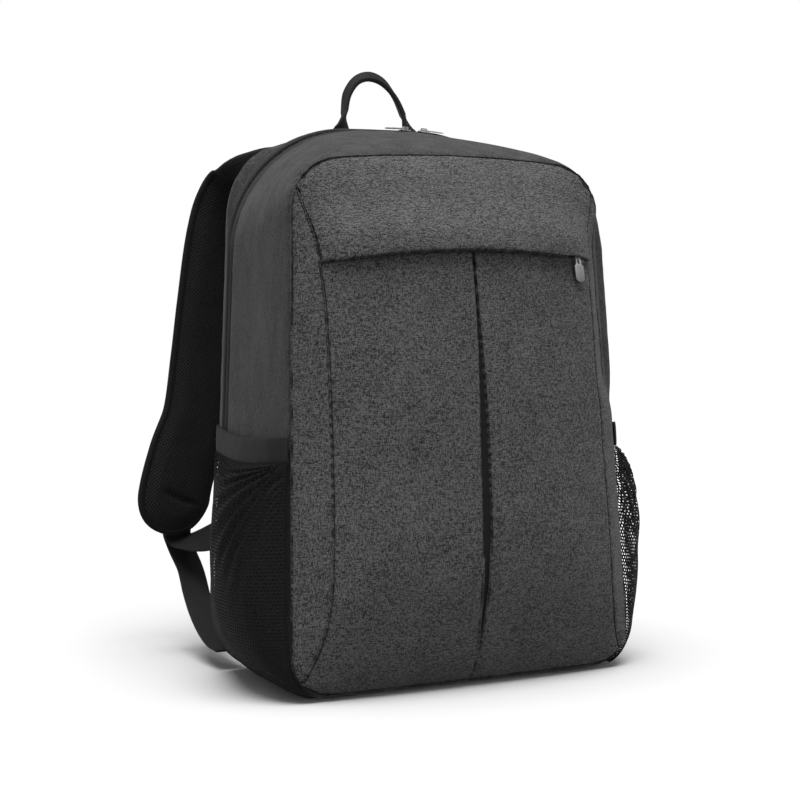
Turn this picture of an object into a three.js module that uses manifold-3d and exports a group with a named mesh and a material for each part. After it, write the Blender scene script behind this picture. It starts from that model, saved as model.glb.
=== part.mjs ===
// Laptop backpack. Millimetres, +Z up. The front faces -Y and the straps hang on the +Y side.
// The origin is the middle of the flat underside of the base.
import * as THREE from 'three';
import { mergeVertices } from 'three/addons/utils/BufferGeometryUtils.js';
import Module from 'manifold-3d';

const wasm = await Module();
wasm.setup();

// Driving sizes of the bag body
const baseWidth = 316;          // across the side walls at the floor
const shoulderDraw = 18.3;      // how much each side wall draws in up to the top
const bodyHeight = 444;         // floor to the top of the main zip
const bodyDepth = 138;          // front seam to back seam
const frontSeamAt = -60;        // front seam at half height
const frontLean = 0.075;        // how far the front seam leans back for each mm of height
const topCrown = 22;            // how much the top edge of the back arches up in its middle
const shoulderAcross = 120;     // top corner of the main zip, across
const shoulderDown = 105;       // top corner of the main zip, down
const footRadius = 52;          // bottom corners of the side walls at the back
const seamLift = 4.5;           // how high the bottom seams lie above the floor
const belly = 38.4;             // how far the filled front stands proud of its seam
const bellyRound = 3;           // how square the belly is across: 2 is round, 4 is boxy
const backRise = 7;             // crown of the padded back
const clothWall = 1.6;
const backWall = 9;             // padded
const seamGap = 0.3;

// Driving sizes of the front
const hemHeight = 344;          // lower edge of the yoke in its middle
const hemDroop = 10;            // how much lower the hem ends
const hemLift = 8;              // how far the hem stands off the panel below
const hemEndLift = 2.4;         // the same where its ends are sewn into the side seams
const hemEndTurn = 20;          // how close to its ends the hem comes in
const hemFlat = 12;             // height of the stretch that stands off all the way
const hemFade = 32;             // height over which the yoke comes back to the belly
const pleatOpening = 7;         // widest opening of the centre pleat
const pleatInsertWidth = 26;
const frontZipTuck = 3;         // how far the panels below reach up behind the hem
const frontZipWidth = 10;

// Driving sizes of the main zip
const zipAt = 0.86;             // share of the depth where the main zip runs
const zipWidth = 6.4;
const zipSink = 0.5;
const zipFoot = 118;            // height at which the zip ends on each side
const zipTaper = 20;            // height over which its slot closes

// Driving sizes of the zip sliders and their pull tabs
const sliderLength = 9;
const sliderWidth = 7.6;
const sliderHeight = 1.2;
const bridgeLength = 6;
const bridgeHeight = 2.5;
const bridgeWidth = 1.6;
const bridgeBar = 1;
const tabLength = 19;
const tabWidth = 8.4;
const tabThickness = 0.9;
const tabEyeWidth = 5.2;
const leftSliderAt = 19;        // along the top, from the middle
const rightSliderAt = 37;
const frontTabInset = 22.9;      // from the end of the hem to the front slider
const frontTabBelowHem = 0.5;

// Driving sizes of the net pockets
const pocketHeight = 203;       // floor to the upper edge of the elastic
const pocketDip = 5;            // how much the elastic sags in its middle
const elasticWidth = 20;
const elasticWall = 1.6;
const netWall = 1.2;
const netBulge = 34;
const mouthBulge = 9;           // how far the elastic stands off the wall
const netFoot = 5;
const netSeat = 0.3;            // the edges of the net stand this far off the wall

// Driving sizes of the straps
const strapWidth = 62;
const strapEndWidth = 68;
const strapThickness = 11;
const strapInset = 66;          // middle of each strap where it leaves the back
const strapHeight = 427;        // the same place, above the floor
const strapReach = 118;         // how far the strap stands behind the back
const strapDrop = 329;          // from its upper end to the lower end of the pad
const strapCorner = 22;         // from the middle of its lower end to the corner of the base
const webWidth = 25;
const webThickness = 1.6;
const webDrop = 88;             // height that the lower webbing runs through
const webSlant = 15;            // sideways shift that the lower webbing runs through
const tailLength = 75;          // reach of the free end towards the bag
const tailDrop = 12;
const tailShift = 27;
const buckleHeight = 24;
const buckleThickness = 6;
const buckleMargin = 4;
const buckleInset = 7;          // how far it sits inwards from the middle of the pad's end
const buckleSlot = 4;
const loopLength = 26;

// Driving sizes of the handle
const handleSpan = 66;          // between the middles of its feet
const handleRise = 52;
const handleBack = 11;          // how far it leans back at the top
const handleWidth = 20;
const handleThickness = 2;
const handleFold = 2.2;         // how many times thicker the folded grip is

const paint = (color, roughness, metalness = 0) =>
  new THREE.MeshStandardMaterial({ color, roughness, metalness });
const melange = paint(0x4a4a4b, 0.92);
const plain = paint(0x47474a, 0.8);
const blackCloth = paint(0x121212, 0.85);
const blackNet = paint(0x0c0c0c, 0.8);
const blackWeb = paint(0x141414, 0.75);
const blackPlastic = paint(0x101010, 0.5);
const greyMetal = paint(0x9a9a9c, 0.3, 0.9);

const bag = new THREE.Group();
const { lerp, clamp, smoothstep } = THREE.MathUtils;
const at = (x, y, z) => new THREE.Vector3(x, y, z);

function addPiece(name, geometry, material, parent = bag) {
  const mesh = new THREE.Mesh(geometry, material);
  mesh.name = name;
  parent.add(mesh);
  return mesh;
}

// Smooth curve through the rows of a table that never overshoots them. Column 0 is the place.
function curveThrough(rows, column) {
  const places = rows.map((row) => row[0]);
  const values = rows.map((row) => row[column]);
  const rates = values.slice(1).map((v, i) => (v - values[i]) / (places[i + 1] - places[i]));
  const slopes = values.map((_, i) => {
    const before = rates[Math.max(i - 1, 0)];
    const after = rates[Math.min(i, rates.length - 1)];
    return before * after > 0 ? (2 * before * after) / (before + after) : 0;
  });
  return (place) => {
    const p = clamp(place, places[0], places[places.length - 1]);
    let i = 0;
    while (i < rates.length - 1 && p > places[i + 1]) i += 1;
    const span = places[i + 1] - places[i];
    const q = (p - places[i]) / span;
    const r = 1 - q;
    return values[i] * r * r * (1 + 2 * q) + values[i + 1] * q * q * (1 + 2 * r)
      + span * q * r * (slopes[i] * r - slopes[i + 1] * q);
  };
}

// Outlines of the bag from the front seam to the back seam, one row for each.
// depth: share of bodyDepth; width: share of baseWidth; foot: share of seamLift;
// top: share of bodyHeight; across, down: shares of the top corner; crown: share of topCrown;
// lean: share of frontLean; round: share of footRadius
const outlineRows = [
  // depth width foot  top    across  down   crown lean  round
  [0.00, 1.000, 1.0, 0.928, 0.330, 0.370, 0.36, 1.0, 0.56],
  [0.06, 1.008, 0.2, 0.936, 0.370, 0.410, 0.35, 0.9, 0.62],
  [0.16, 1.010, 0.0, 0.949, 0.470, 0.500, 0.29, 0.75, 0.73],
  [0.45, 1.008, 0.0, 0.976, 0.740, 0.760, 0.16, 0.4, 0.90],
  [0.75, 1.002, 0.0, 0.995, 0.950, 0.950, 0.07, 0.1, 0.97],
  [0.86, 1.000, 0.0, 1.000, 1.000, 1.000, 0.05, 0.0, 1.00],
  [0.95, 0.993, 0.0, 0.946, 0.360, 0.457, 1.00, 0.0, 1.00],
  [1.00, 0.968, 0.9, 0.937, 0.340, 0.440, 1.00, 0.0, 1.00],
];
const [widthAt, footAt, topAt, acrossAt, downAt, crownAt, leanAt, roundAt] =
  [1, 2, 3, 4, 5, 6, 7, 8].map((column) => curveThrough(outlineRows, column));
const leanHeight = 202;         // the front seam lies at frontSeamAt at this height

function outlineAt(depth) {
  const foot = seamLift * footAt(depth);
  const top = bodyHeight * topAt(depth);
  const across = shoulderAcross * acrossAt(depth);
  const down = shoulderDown * downAt(depth);
  const radius = footRadius * roundAt(depth);
  const low = foot + radius;
  const high = top - down;
  const half = (z) =>
    baseWidth / 2 * widthAt(depth) - shoulderDraw * clamp(z, low, high) / bodyHeight;
  return { foot, radius, top, across, down, low, high, half, crown: topCrown * crownAt(depth) };
}

function depthToY(depth, z) {
  return frontSeamAt + bodyDepth * depth + frontLean * leanAt(depth) * (z - leanHeight);
}

// The wall round the bag. way runs from 0 at the middle of the base, by 1 at the left foot, 2 at
// the end of its corner, 3 at the shoulder and 4 past the shoulder, to 5 at the middle of the top
// and on to 10 down the right side. depth is 0 at the front seam and 1 at the back seam.
function wallPoint(way, depth, lift = 0) {
  const wrapped = way > 5 ? way - 10 : way;
  const side = wrapped >= 0 ? -1 : 1;
  const s = Math.abs(wrapped);
  const o = outlineAt(depth);
  let x;
  let z;
  if (s <= 1) {
    x = s * (o.half(o.low) - o.radius);
    z = o.foot;
  } else if (s <= 2) {
    const turn = (s - 1) * Math.PI / 2;
    x = o.half(o.low) - o.radius * (1 - Math.sin(turn));
    z = o.low - o.radius * Math.cos(turn);
  } else if (s <= 3) {
    z = lerp(o.low, o.high, s - 2);
    x = o.half(z);
  } else {
    const turn = Math.min(s - 3, 1) * Math.PI / 2;
    const inner = o.half(o.high) - o.across;
    x = (inner + o.across * Math.cos(turn)) * (s > 4 ? 5 - s : 1);
    z = o.high + o.down * Math.sin(turn);
    if (s > 4) x = inner * (5 - s);
    z += o.crown * (1 - (x / o.half(o.high)) ** 2);
  }
  const point = at(side * x, depthToY(depth, z), z);
  return lift ? point.addScaledVector(wallNormal(way, depth), lift) : point;
}

// Way at which the top of the wall lies at a distance x from the middle.
function wayOver(x, depth) {
  const o = outlineAt(depth);
  const inner = o.half(o.high) - o.across;
  const share = (Math.abs(x) - inner) / o.across;
  const way = share > 0 ? 3 + Math.acos(share) / (Math.PI / 2) : 5 - Math.abs(x) / inner;
  return x < 0 ? way : 10 - way;
}

// Ways at which the sections of the wall lie.
const steps = (from, to, count) =>
  Array.from({ length: count + 1 }, (_, i) => lerp(from, to, i / count));
const cornerWays = steps(1, 2, 4);
const sideWays = steps(2, 3, 8);
const shoulderWays = steps(3, 4, 9);
const topWays = steps(4, 5, 5);
const halfWays = [...cornerWays, ...sideWays.slice(1), ...shoulderWays.slice(1),
  ...topWays.slice(1)];
const wallWays = [...halfWays, ...halfWays.slice(0, -1).map((way) => 10 - way).reverse()];

// Where the edges of the front or back seam lie at a share u of its half width, on the straight
// lines between the sections.
function edgeLine(depth, ways) {
  const line = ways.map((way) => {
    const point = wallPoint(way, depth);
    return { x: Math.abs(point.x), z: point.z, way };
  }).sort((a, b) => a.x - b.x);
  return (x) => {
    let i = 1;
    while (i < line.length - 1 && x > line[i].x) i += 1;
    const f = clamp((x - line[i - 1].x) / (line[i].x - line[i - 1].x), 0, 1);
    return {
      z: lerp(line[i - 1].z, line[i].z, f),
      way: lerp(line[i - 1].way, line[i].way, f),
    };
  };
}
const edgeLines = [0, 1].map((depth) => ({
  lower: edgeLine(depth, [0, ...cornerWays]),
  upper: edgeLine(depth, [...shoulderWays, ...topWays.slice(1)]),
}));

function edgesAt(depth, u) {
  const { low, high, half } = outlineAt(depth);
  const share = Math.abs(u);
  return {
    lower: edgeLines[depth].lower(share * half(low)),
    upper: edgeLines[depth].upper(share * half(high)),
  };
}

const NUDGE = 0.02;
function bareWallNormal(way, depth) {
  const along = wallPoint(way + NUDGE, depth).sub(wallPoint(way - NUDGE, depth));
  const back = wallPoint(way, Math.min(depth + NUDGE, 1)).sub(
    wallPoint(way, Math.max(depth - NUDGE, 0)));
  return along.cross(back).normalize();
}

// At a seam the normal halves the angle between the two cloths.
const seamReach = 0.004;
function wallNormal(way, depth) {
  if (depth < seamReach) return seamNormal(0, way);
  if (depth > 1 - seamReach) return seamNormal(1, way);
  return bareWallNormal(way, depth);
}

function seamNormal(depth, way) {
  const onSeam = wallPoint(way, depth);
  const { low, high, half } = outlineAt(depth);
  const u = clamp(onSeam.x / half(onSeam.z), -1, 1);
  let height = onSeam.z > high ? 1 : 0;
  if (onSeam.z > low && onSeam.z < high) height = (onSeam.z - low) / (high - low);
  const face = depth === 0 ? frontNormal(u, height) : at(0, 1, 0);
  return bareWallNormal(way, depth).add(face).normalize();
}

// Way at which the edge of the front or back lies, at a share of its width and height.
function edgeWay(depth, u, height) {
  const { lower, upper } = edgesAt(depth, u);
  let way = height > 0.5 ? upper.way : lower.way;
  if (height > 0.01 && height < 0.99) way = 2 + height;
  return u < 0 ? way : 10 - way;
}

// The filled front. height: share from the lower to the upper edge of the front seam;
// belly: share of the belly in the middle; fold, foldBelly: where the side seam lies, as a share
// of the half width, and the belly's share there
const frontRows = [
  // height belly fold   foldBelly
  [0.000, 0.00, 0.955, 0.00],
  [0.030, 0.33, 0.920, 0.08],
  [0.061, 0.45, 0.899, 0.17],
  [0.110, 0.62, 0.862, 0.36],
  [0.170, 0.80, 0.843, 0.49],
  [0.230, 0.92, 0.838, 0.54],
  [0.320, 0.99, 0.836, 0.55],
  [0.470, 1.00, 0.834, 0.50],
  [0.600, 0.98, 0.846, 0.50],
  [0.730, 0.88, 0.858, 0.44],
  [0.800, 0.83, 0.871, 0.36],
  [0.850, 0.75, 0.885, 0.28],
  [0.900, 0.61, 0.910, 0.17],
  [0.940, 0.43, 0.936, 0.09],
  [0.970, 0.25, 0.950, 0.04],
  [1.000, 0.00, 0.965, 0.00],
];
const [bellyAt, foldAt, foldBellyAt] = [1, 2, 3].map((column) => curveThrough(frontRows, column));
const foldPuff = 0.25;          // how much the narrow side panels round out

function frontPoint(u, height, lift = 0) {
  const outline = outlineAt(0);
  const { lower, upper } = edgesAt(0, u);
  const z = lerp(lower.z, upper.z, height);
  const x = u * outline.half(z);
  const share = Math.abs(u);
  const fold = foldAt(height);
  const over = clamp((share - fold) / (1 - fold), 0, 1);
  const middle = bellyAt(height);
  const atFold = foldBellyAt(height);
  const rise = share < fold
    ? middle - (middle - atFold) * (share / fold) ** bellyRound
    : atFold * (1 - over) * (1 + foldPuff * over);
  return at(x, depthToY(0, z) - belly * rise - lift, z);
}

function frontNormal(u, height) {
  const across = frontPoint(clamp(u + NUDGE / 2, -1, 1), height).sub(
    frontPoint(clamp(u - NUDGE / 2, -1, 1), height));
  const up = frontPoint(u, Math.min(height + NUDGE, 1)).sub(
    frontPoint(u, Math.max(height - NUDGE, 0)));
  return across.cross(up).normalize();
}

// Normal of the front, which halves the angle with the wall round the bag at the seam.
function clothNormal(u, height) {
  const atSeam = Math.abs(u) > 0.99 || height > 0.99 || height < 0.01;
  return atSeam ? seamNormal(0, edgeWay(0, u, height)) : frontNormal(u, height);
}

// Height share on the front that lies at a given height above the floor.
function frontShare(u, z) {
  const { lower, upper } = edgesAt(0, u);
  return (z - lower.z) / (upper.z - lower.z);
}

// A closed sheet of cloth: the grid of outer points, each moved inwards along its normal.
function sheetGeometry(outer, inner) {
  const rows = outer.length;
  const columns = outer[0].length;
  const points = [...outer.flat(), ...inner.flat()];
  const index = [];
  const id = (i, j, layer) => layer * rows * columns + i * columns + j;
  const quad = (a, b, c, d) => index.push(a, b, c, a, c, d);
  for (let i = 0; i < rows - 1; i += 1) {
    for (let j = 0; j < columns - 1; j += 1) {
      quad(id(i, j, 0), id(i, j + 1, 0), id(i + 1, j + 1, 0), id(i + 1, j, 0));
      quad(id(i, j, 1), id(i + 1, j, 1), id(i + 1, j + 1, 1), id(i, j + 1, 1));
    }
  }
  for (let j = 0; j < columns - 1; j += 1) {
    const last = rows - 1;
    quad(id(0, j, 0), id(0, j, 1), id(0, j + 1, 1), id(0, j + 1, 0));
    quad(id(last, j, 0), id(last, j + 1, 0), id(last, j + 1, 1), id(last, j, 1));
  }
  for (let i = 0; i < rows - 1; i += 1) {
    const last = columns - 1;
    quad(id(i, 0, 0), id(i + 1, 0, 0), id(i + 1, 0, 1), id(i, 0, 1));
    quad(id(i, last, 0), id(i, last, 1), id(i + 1, last, 1), id(i + 1, last, 0));
  }
  return facing(points, index);
}

// Turns a closed surface so that its faces point outwards.
function facing(points, index) {
  let volume = 0;
  for (let i = 0; i < index.length; i += 3) {
    const [a, b, c] = [points[index[i]], points[index[i + 1]], points[index[i + 2]]];
    volume += a.dot(b.clone().cross(c));
  }
  if (volume < 0) {
    for (let i = 0; i < index.length; i += 3) {
      [index[i + 1], index[i + 2]] = [index[i + 2], index[i + 1]];
    }
  }
  const geometry = new THREE.BufferGeometry();
  geometry.setAttribute('position', new THREE.Float32BufferAttribute(
    points.flatMap((p) => [p.x, p.y, p.z]), 3));
  geometry.setIndex(index);
  return geometry;
}

// A sheet whose outer point and normal are worked out for each row and column.
function sheet(rows, columns, place, wall = clothWall) {
  const outer = [];
  const inner = [];
  for (const row of rows) {
    const placed = columns.map((column) => place(row, column));
    outer.push(placed.map(({ point }) => point));
    inner.push(placed.map(({ point, normal }) => point.clone().addScaledVector(normal, -wall)));
  }
  return sheetGeometry(outer, inner);
}

const seamShare = seamGap / (baseWidth / 2);
const seamShareUp = seamGap / bodyHeight;
const frontHigh = 1 - seamShareUp;
const hemZ = (u) => hemHeight - hemDroop * (u / foldAt(frontShare(0, hemHeight))) ** 2;
const hemShare = (u, above = 0) => frontShare(u, hemZ(u) + above);
const frontReach = (height) => foldAt(height) - seamShare;

// Share of the width and of the height where a place q across the middle panels lies: level 0
// and 1 are the lines from and to, which may change across.
function acrossFront(q, level, from, to, inner = () => 0) {
  let u = q;
  let share = 0;
  for (let pass = 0; pass < 5; pass += 1) {
    share = lerp(from(u), to(u), level);
    u = Math.sign(q) * lerp(inner(share), frontReach(share), Math.abs(q));
  }
  return { u, share };
}

// Opening of the pleat from the floor up, as a share of pleatOpening.
const pleatRows = [
  [0.00, 0.04], [0.03, 0.10], [0.08, 0.42], [0.16, 0.92], [0.22, 1.00],
  [0.42, 1.00], [0.52, 0.80], [0.60, 0.45], [0.72, 0.04], [1.00, 0.04],
];
const pleatAt = curveThrough(pleatRows, 1);
const pleatHalf = (height) => (pleatOpening * pleatAt(height) + seamGap) / baseWidth;

const panelLevels = [0, 0.02, 0.06, 0.11, 0.17, 0.24, 0.31, 0.39, 0.48, 0.57, 0.66, 0.75, 0.84,
  0.92, 1];
const panelColumns = [0, 0.12, 0.3, 0.48, 0.64, 0.78, 0.9, 1];
const yokeLevels = [0, 0.12, 0.25, 0.4, 0.55, 0.7, 0.83, 0.93, 1];
const yokeColumns = [...panelColumns.slice(1).map((q) => -q).reverse(), ...panelColumns];
const sideColumns = steps(0, 1, 3);

function addFront() {
  const panelTop = (u) => hemShare(u, frontZipTuck);
  const foldTop = acrossFront(1, 1, panelTop, panelTop).share;
  const sideLevels = [
    ...panelLevels.map((level) => lerp(seamShareUp, foldTop, level)),
    ...yokeLevels.slice(1).map((level) => lerp(foldTop, frontHigh, level)),
  ];
  for (const side of [-1, 1]) {
    const name = side < 0 ? 'left' : 'right';
    addPiece(`front_${name}`, sheet(panelLevels, panelColumns, (level, q) => {
      const { u, share } = acrossFront(side * (q || 1e-6), level, () => seamShareUp, panelTop,
        pleatHalf);
      return { point: frontPoint(u, share), normal: clothNormal(u, share) };
    }), melange);
    addPiece(`side_front_${name}`, sheet(sideLevels, sideColumns, (share, q) => {
      const u = side * lerp(foldAt(share) + seamShare, 1 - seamShare, q);
      return { point: frontPoint(u, share), normal: clothNormal(u, share) };
    }), melange);
  }

  const insertHalf = pleatInsertWidth / baseWidth;
  const insertSink = clothWall + 2 * seamGap;
  addPiece('pleat_insert', sheet(panelLevels.slice(2, -1), [-1, 0, 1], (level, q) => {
    const share = lerp(seamShareUp, panelTop(0), level);
    const normal = frontNormal(q * insertHalf, share);
    const point = frontPoint(q * insertHalf, share).addScaledVector(normal, -insertSink);
    return { point, normal };
  }), blackCloth);

  const yokeLift = (u, share) => {
    const above = (share - hemShare(u)) * (frontPoint(u, 1).z - frontPoint(u, 0).z);
    const lift = lerp(hemLift, hemEndLift, Math.abs(u / foldAt(share)) ** hemEndTurn);
    return lift * (1 - smoothstep(above, hemFlat, hemFlat + hemFade));
  };
  addPiece('yoke', sheet(yokeLevels, yokeColumns, (level, q) => {
    const { u, share } = acrossFront(q, level, (v) => hemShare(v), () => frontHigh);
    return { point: frontPoint(u, share, yokeLift(u, share)), normal: clothNormal(u, share) };
  }), melange);
  const zipBelow = (u) => hemShare(u, frontZipTuck + seamGap);
  const zipAbove = (u) => hemShare(u, frontZipTuck + frontZipWidth);
  addPiece('front_zip', sheet([0, 1], yokeColumns, (level, q) => {
    const { u, share } = acrossFront(q, level, zipBelow, zipAbove);
    return { point: frontPoint(u, share), normal: clothNormal(u, share) };
  }), blackCloth);
}

const gapDepth = seamGap / bodyDepth;
const cornerGap = seamGap / (footRadius * Math.PI / 4);
const frontDepths = [gapDepth, 0.06, 0.16, 0.38, 0.62];
const backDepths = [0.95, 1 - gapDepth];
const zipHalfAt = (way) => {
  const open = smoothstep(wallPoint(way, zipAt).z, zipFoot - zipTaper, zipFoot);
  return lerp(seamGap, zipWidth, open) / 2 / bodyDepth;
};

function wallSheet(ways, depths, sink = 0, wall = clothWall) {
  return sheet(ways, depths, (way, depth) => {
    const share = typeof depth === 'function' ? depth(way) : depth;
    const normal = wallNormal(way, share);
    const point = wallPoint(way, share).addScaledVector(normal, -sink);
    return { point, normal };
  }, wall);
}

function addWall() {
  const ways = wallWays.map((way) => clamp(way, wallWays[0] + cornerGap,
    wallWays[wallWays.length - 1] - cornerGap));
  const beforeZip = (way) => zipAt - zipHalfAt(way);
  const afterZip = (way) => zipAt + zipHalfAt(way);
  addPiece('gusset_front', wallSheet(ways, [...frontDepths, beforeZip]), plain);
  addPiece('gusset_back', wallSheet(ways, [afterZip, ...backDepths]), plain);
  const zipWays = ways.filter((way) => wallPoint(way, zipAt).z > zipFoot);
  addPiece('main_zip', wallSheet(zipWays,
    [(way) => beforeZip(way) + gapDepth, (way) => afterZip(way) - gapDepth],
    zipSink, clothWall - zipSink), blackCloth);
  addPiece('base', wallSheet(steps(-1, 1, 9), [...frontDepths, zipAt, ...backDepths]), plain);
}

function backPoint(u, height) {
  const { lower, upper } = edgesAt(1, u);
  const z = lerp(lower.z, upper.z, height);
  const round = (1 - u ** 4) * (1 - (2 * height - 1) ** 4);
  return at(u * outlineAt(1).half(z), depthToY(1, z) + backRise * round, z);
}

function addBack() {
  const edge = 1 - seamShare;
  const columns = [1, 0.95, 0.86, 0.7, 0.48, 0.24].map((q) => q * edge);
  const heights = steps(seamShareUp, 1 - seamShareUp, 12);
  addPiece('back_panel', sheet(heights, [...columns.map((q) => -q), 0, ...columns.reverse()],
    (height, u) => {
      const onSeam = Math.abs(u) >= edge || height === heights[0] || height === heights[12];
      const normal = onSeam ? seamNormal(1, edgeWay(1, u, height)) : at(0, 1, 0);
      return { point: backPoint(u, height), normal };
    }, backWall), blackCloth);
}

// A net pocket stands off the wall between the two seams. height: share of the net's height;
// bulge: share of netBulge
const netRows = [
  [0.00, 0.03], [0.06, 0.20], [0.14, 0.42], [0.31, 0.78], [0.48, 0.95],
  [0.62, 1.00], [0.76, 0.96], [0.88, 0.82], [0.95, 0.60], [1.00, 0.30],
];
// How full the net is from the front seam to the back seam. depth: share of bodyDepth
const fullRows = [
  [0.00, 0.00], [0.04, 0.45], [0.145, 0.90], [0.29, 1.00], [0.435, 0.96],
  [0.58, 0.76], [0.725, 0.46], [0.87, 0.17], [1.00, 0.00],
];
const [netBulgeAt, netFullAt] = [netRows, fullRows].map((rows) => curveThrough(rows, 1));
const netDepths = [0.012, 0.05, 0.13, 0.28, 0.48, 0.68, 0.84, 0.95, 0.985];
const netLevels = [0, 0.025, 0.055, 0.09, 0.13, 0.2, 0.32, 0.48, 0.64, 0.8, 0.92, 1];

function wayAtHeight(z, depth) {
  const o = outlineAt(depth);
  return z < o.low
    ? 1 + Math.acos(clamp((o.low - z) / o.radius, 0, 1)) / (Math.PI / 2)
    : 2 + (z - o.low) / (o.high - o.low);
}

function netSheet(side, levels, low, high, wall, bulge) {
  return sheet(levels, netDepths, (level, depth) => {
    const sag = pocketDip * Math.sin(Math.PI * depth);
    const z = lerp(low(sag), high(sag), level);
    const way = wayAtHeight(z, depth);
    const place = side < 0 ? way : 10 - way;
    const round = bareWallNormal(place, clamp(depth, 0.02, 0.98));
    const normal = at(side, 0, 0).lerp(round, 1 - smoothstep(way, 1.2, 2)).normalize();
    const out = bulge(level, depth) + netSeat + wall;
    return { point: wallPoint(place, depth).addScaledVector(normal, out), normal };
  }, wall);
}

function addPockets() {
  const netTop = pocketHeight - elasticWidth;
  for (const side of [-1, 1]) {
    const name = side < 0 ? 'left' : 'right';
    addPiece(`net_${name}`, netSheet(side, netLevels,
      () => netFoot, (sag) => netTop - seamGap - sag, netWall,
      (level, depth) => netBulge * netBulgeAt(level) * netFullAt(depth)), blackNet);
    addPiece(`elastic_${name}`, netSheet(side, [0, 0.5, 1],
      (sag) => netTop - sag, (sag) => pocketHeight - sag, elasticWall,
      (level, depth) => mouthBulge * netFullAt(depth)), blackCloth);
  }
}

// A flat band swept through stations of centre, width direction, width and thickness.
function bandGeometry(stations, edge = 0.35) {
  const count = stations.length;
  const points = [];
  const index = [];
  const section = (w, t) => {
    const soft = Math.min(edge * t, w / 4);
    return [
      [-w / 2, -t / 2 + soft], [-w / 2 + soft, -t / 2], [w / 2 - soft, -t / 2],
      [w / 2, -t / 2 + soft], [w / 2, t / 2 - soft], [w / 2 - soft, t / 2],
      [-w / 2 + soft, t / 2], [-w / 2, t / 2 - soft],
    ];
  };
  stations.forEach((station, i) => {
    const before = stations[Math.max(i - 1, 0)].centre;
    const after = stations[Math.min(i + 1, count - 1)].centre;
    const along = after.clone().sub(before).normalize();
    const across = station.across.clone().addScaledVector(along, -station.across.dot(along));
    across.normalize();
    const out = along.clone().cross(across);
    for (const [a, b] of section(station.width, station.thickness)) {
      points.push(station.centre.clone().addScaledVector(across, a).addScaledVector(out, b));
    }
  });
  const sides = points.length / count;
  for (let i = 0; i < count - 1; i += 1) {
    for (let j = 0; j < sides; j += 1) {
      const a = i * sides + j;
      const b = i * sides + (j + 1) % sides;
      // Both faces of the band are split along the same diagonal, so its thickness keeps.
      if (j < sides / 2) index.push(a, b, b + sides, a, b + sides, a + sides);
      else index.push(a, b, a + sides, b, b + sides, a + sides);
    }
  }
  const last = (count - 1) * sides;
  for (let j = 1; j < sides - 1; j += 1) {
    index.push(0, j + 1, j, last, last + j, last + j + 1);
  }
  return facing(points, index);
}

// Stations along a smooth curve through the rows of a table, read by the given function.
function stationsThrough(rows, read, count) {
  const knots = rows.map(read);
  const curve = new THREE.CatmullRomCurve3(knots.map((k) => k.centre), false, 'centripetal');
  return steps(0, 1, count).map((q) => {
    const place = q * (knots.length - 1);
    const i = Math.min(Math.floor(place), knots.length - 2);
    const f = place - i;
    const mix = (key) => lerp(knots[i][key], knots[i + 1][key], f);
    return {
      centre: curve.getPoint(q),
      across: knots[i].across.clone().lerp(knots[i + 1].across, f),
      width: mix('width'),
      thickness: mix('thickness'),
    };
  });
}

// Middle of a shoulder strap. reach, drop, splay: shares of the named sizes; width: 0 is
// strapWidth and 1 is strapEndWidth
const strapRows = [
  // reach  drop  splay  width
  [0.000, 0.000, 0.000, 0.0],
  [0.170, 0.000, 0.000, 0.0],
  [0.380, 0.005, 0.000, 0.0],
  [0.600, 0.013, 0.005, 0.0],
  [0.790, 0.030, 0.020, 0.0],
  [0.930, 0.064, 0.075, 0.0],
  [0.985, 0.122, 0.215, 0.0],
  [1.000, 0.205, 0.325, 0.0],
  [1.000, 0.385, 0.460, 0.0],
  [0.992, 0.540, 0.555, 0.2],
  [0.978, 0.690, 0.670, 0.4],
  [0.970, 0.790, 0.850, 0.8],
  [0.970, 0.900, 0.985, 1.0],
  [0.970, 1.000, 1.000, 1.0],
];
const strapFoot = strapHeight - strapDrop;
const strapSplay = baseWidth / 2 - strapInset - strapCorner;
const padEndY = () => backFace() + strapReach * strapRows[strapRows.length - 1][0];
function backFace() {
  const u = (strapInset - strapWidth / 2) / (baseWidth / 2);
  const { lower, upper } = edgesAt(1, u);
  const height = (strapHeight - strapThickness / 2 - lower.z) / (upper.z - lower.z);
  return backPoint(u, height).y + seamGap;
}

function strapStations(side) {
  const start = backFace();
  const stations = stationsThrough(strapRows, ([reach, drop, splay, wide]) => ({
    centre: at(side * (strapInset + strapSplay * splay),
      start + strapReach * reach, strapHeight - strapDrop * drop),
    across: at(1, 0, 0),
    width: lerp(strapWidth, strapEndWidth, wide),
    thickness: strapThickness,
  }), 30);
  const radius = strapEndWidth / 2;
  const rounded = [];
  for (const station of stations) {
    const left = station.centre.z - strapFoot;
    if (left > radius || station.centre.y < start + strapReach / 2) rounded.push(station);
  }
  const end = stations[stations.length - 1].centre;
  const before = rounded[rounded.length - 1].centre;
  const endTurns = [8, 25, 42, 58, 72].map((degrees) => degrees * Math.PI / 180);
  for (const turn of endTurns) {
    const height = strapFoot + radius * (1 - Math.sin(turn));
    const share = clamp((before.z - height) / (before.z - end.z), 0, 1);
    rounded.push({
      centre: before.clone().lerp(end, share),
      across: at(1, 0, 0),
      width: strapEndWidth * Math.cos(turn),
      thickness: strapThickness,
    });
  }
  return rounded;
}

// The lower webbing from the buckle to the foot of the back. reach: share of strapReach left;
// drop: share of webDrop; slant: share of webSlant
const webRows = [
  [0.000, 0.000, 0.50],
  [0.000, 0.050, 0.50],
  [0.035, 0.180, 0.35],
  [0.125, 0.400, 0.05],
  [0.310, 0.625, 0.33],
  [0.520, 0.795, 0.67],
  [0.730, 0.920, 0.93],
  [0.870, 0.980, 1.00],
  [1.000, 1.000, 1.00],
];
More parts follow.
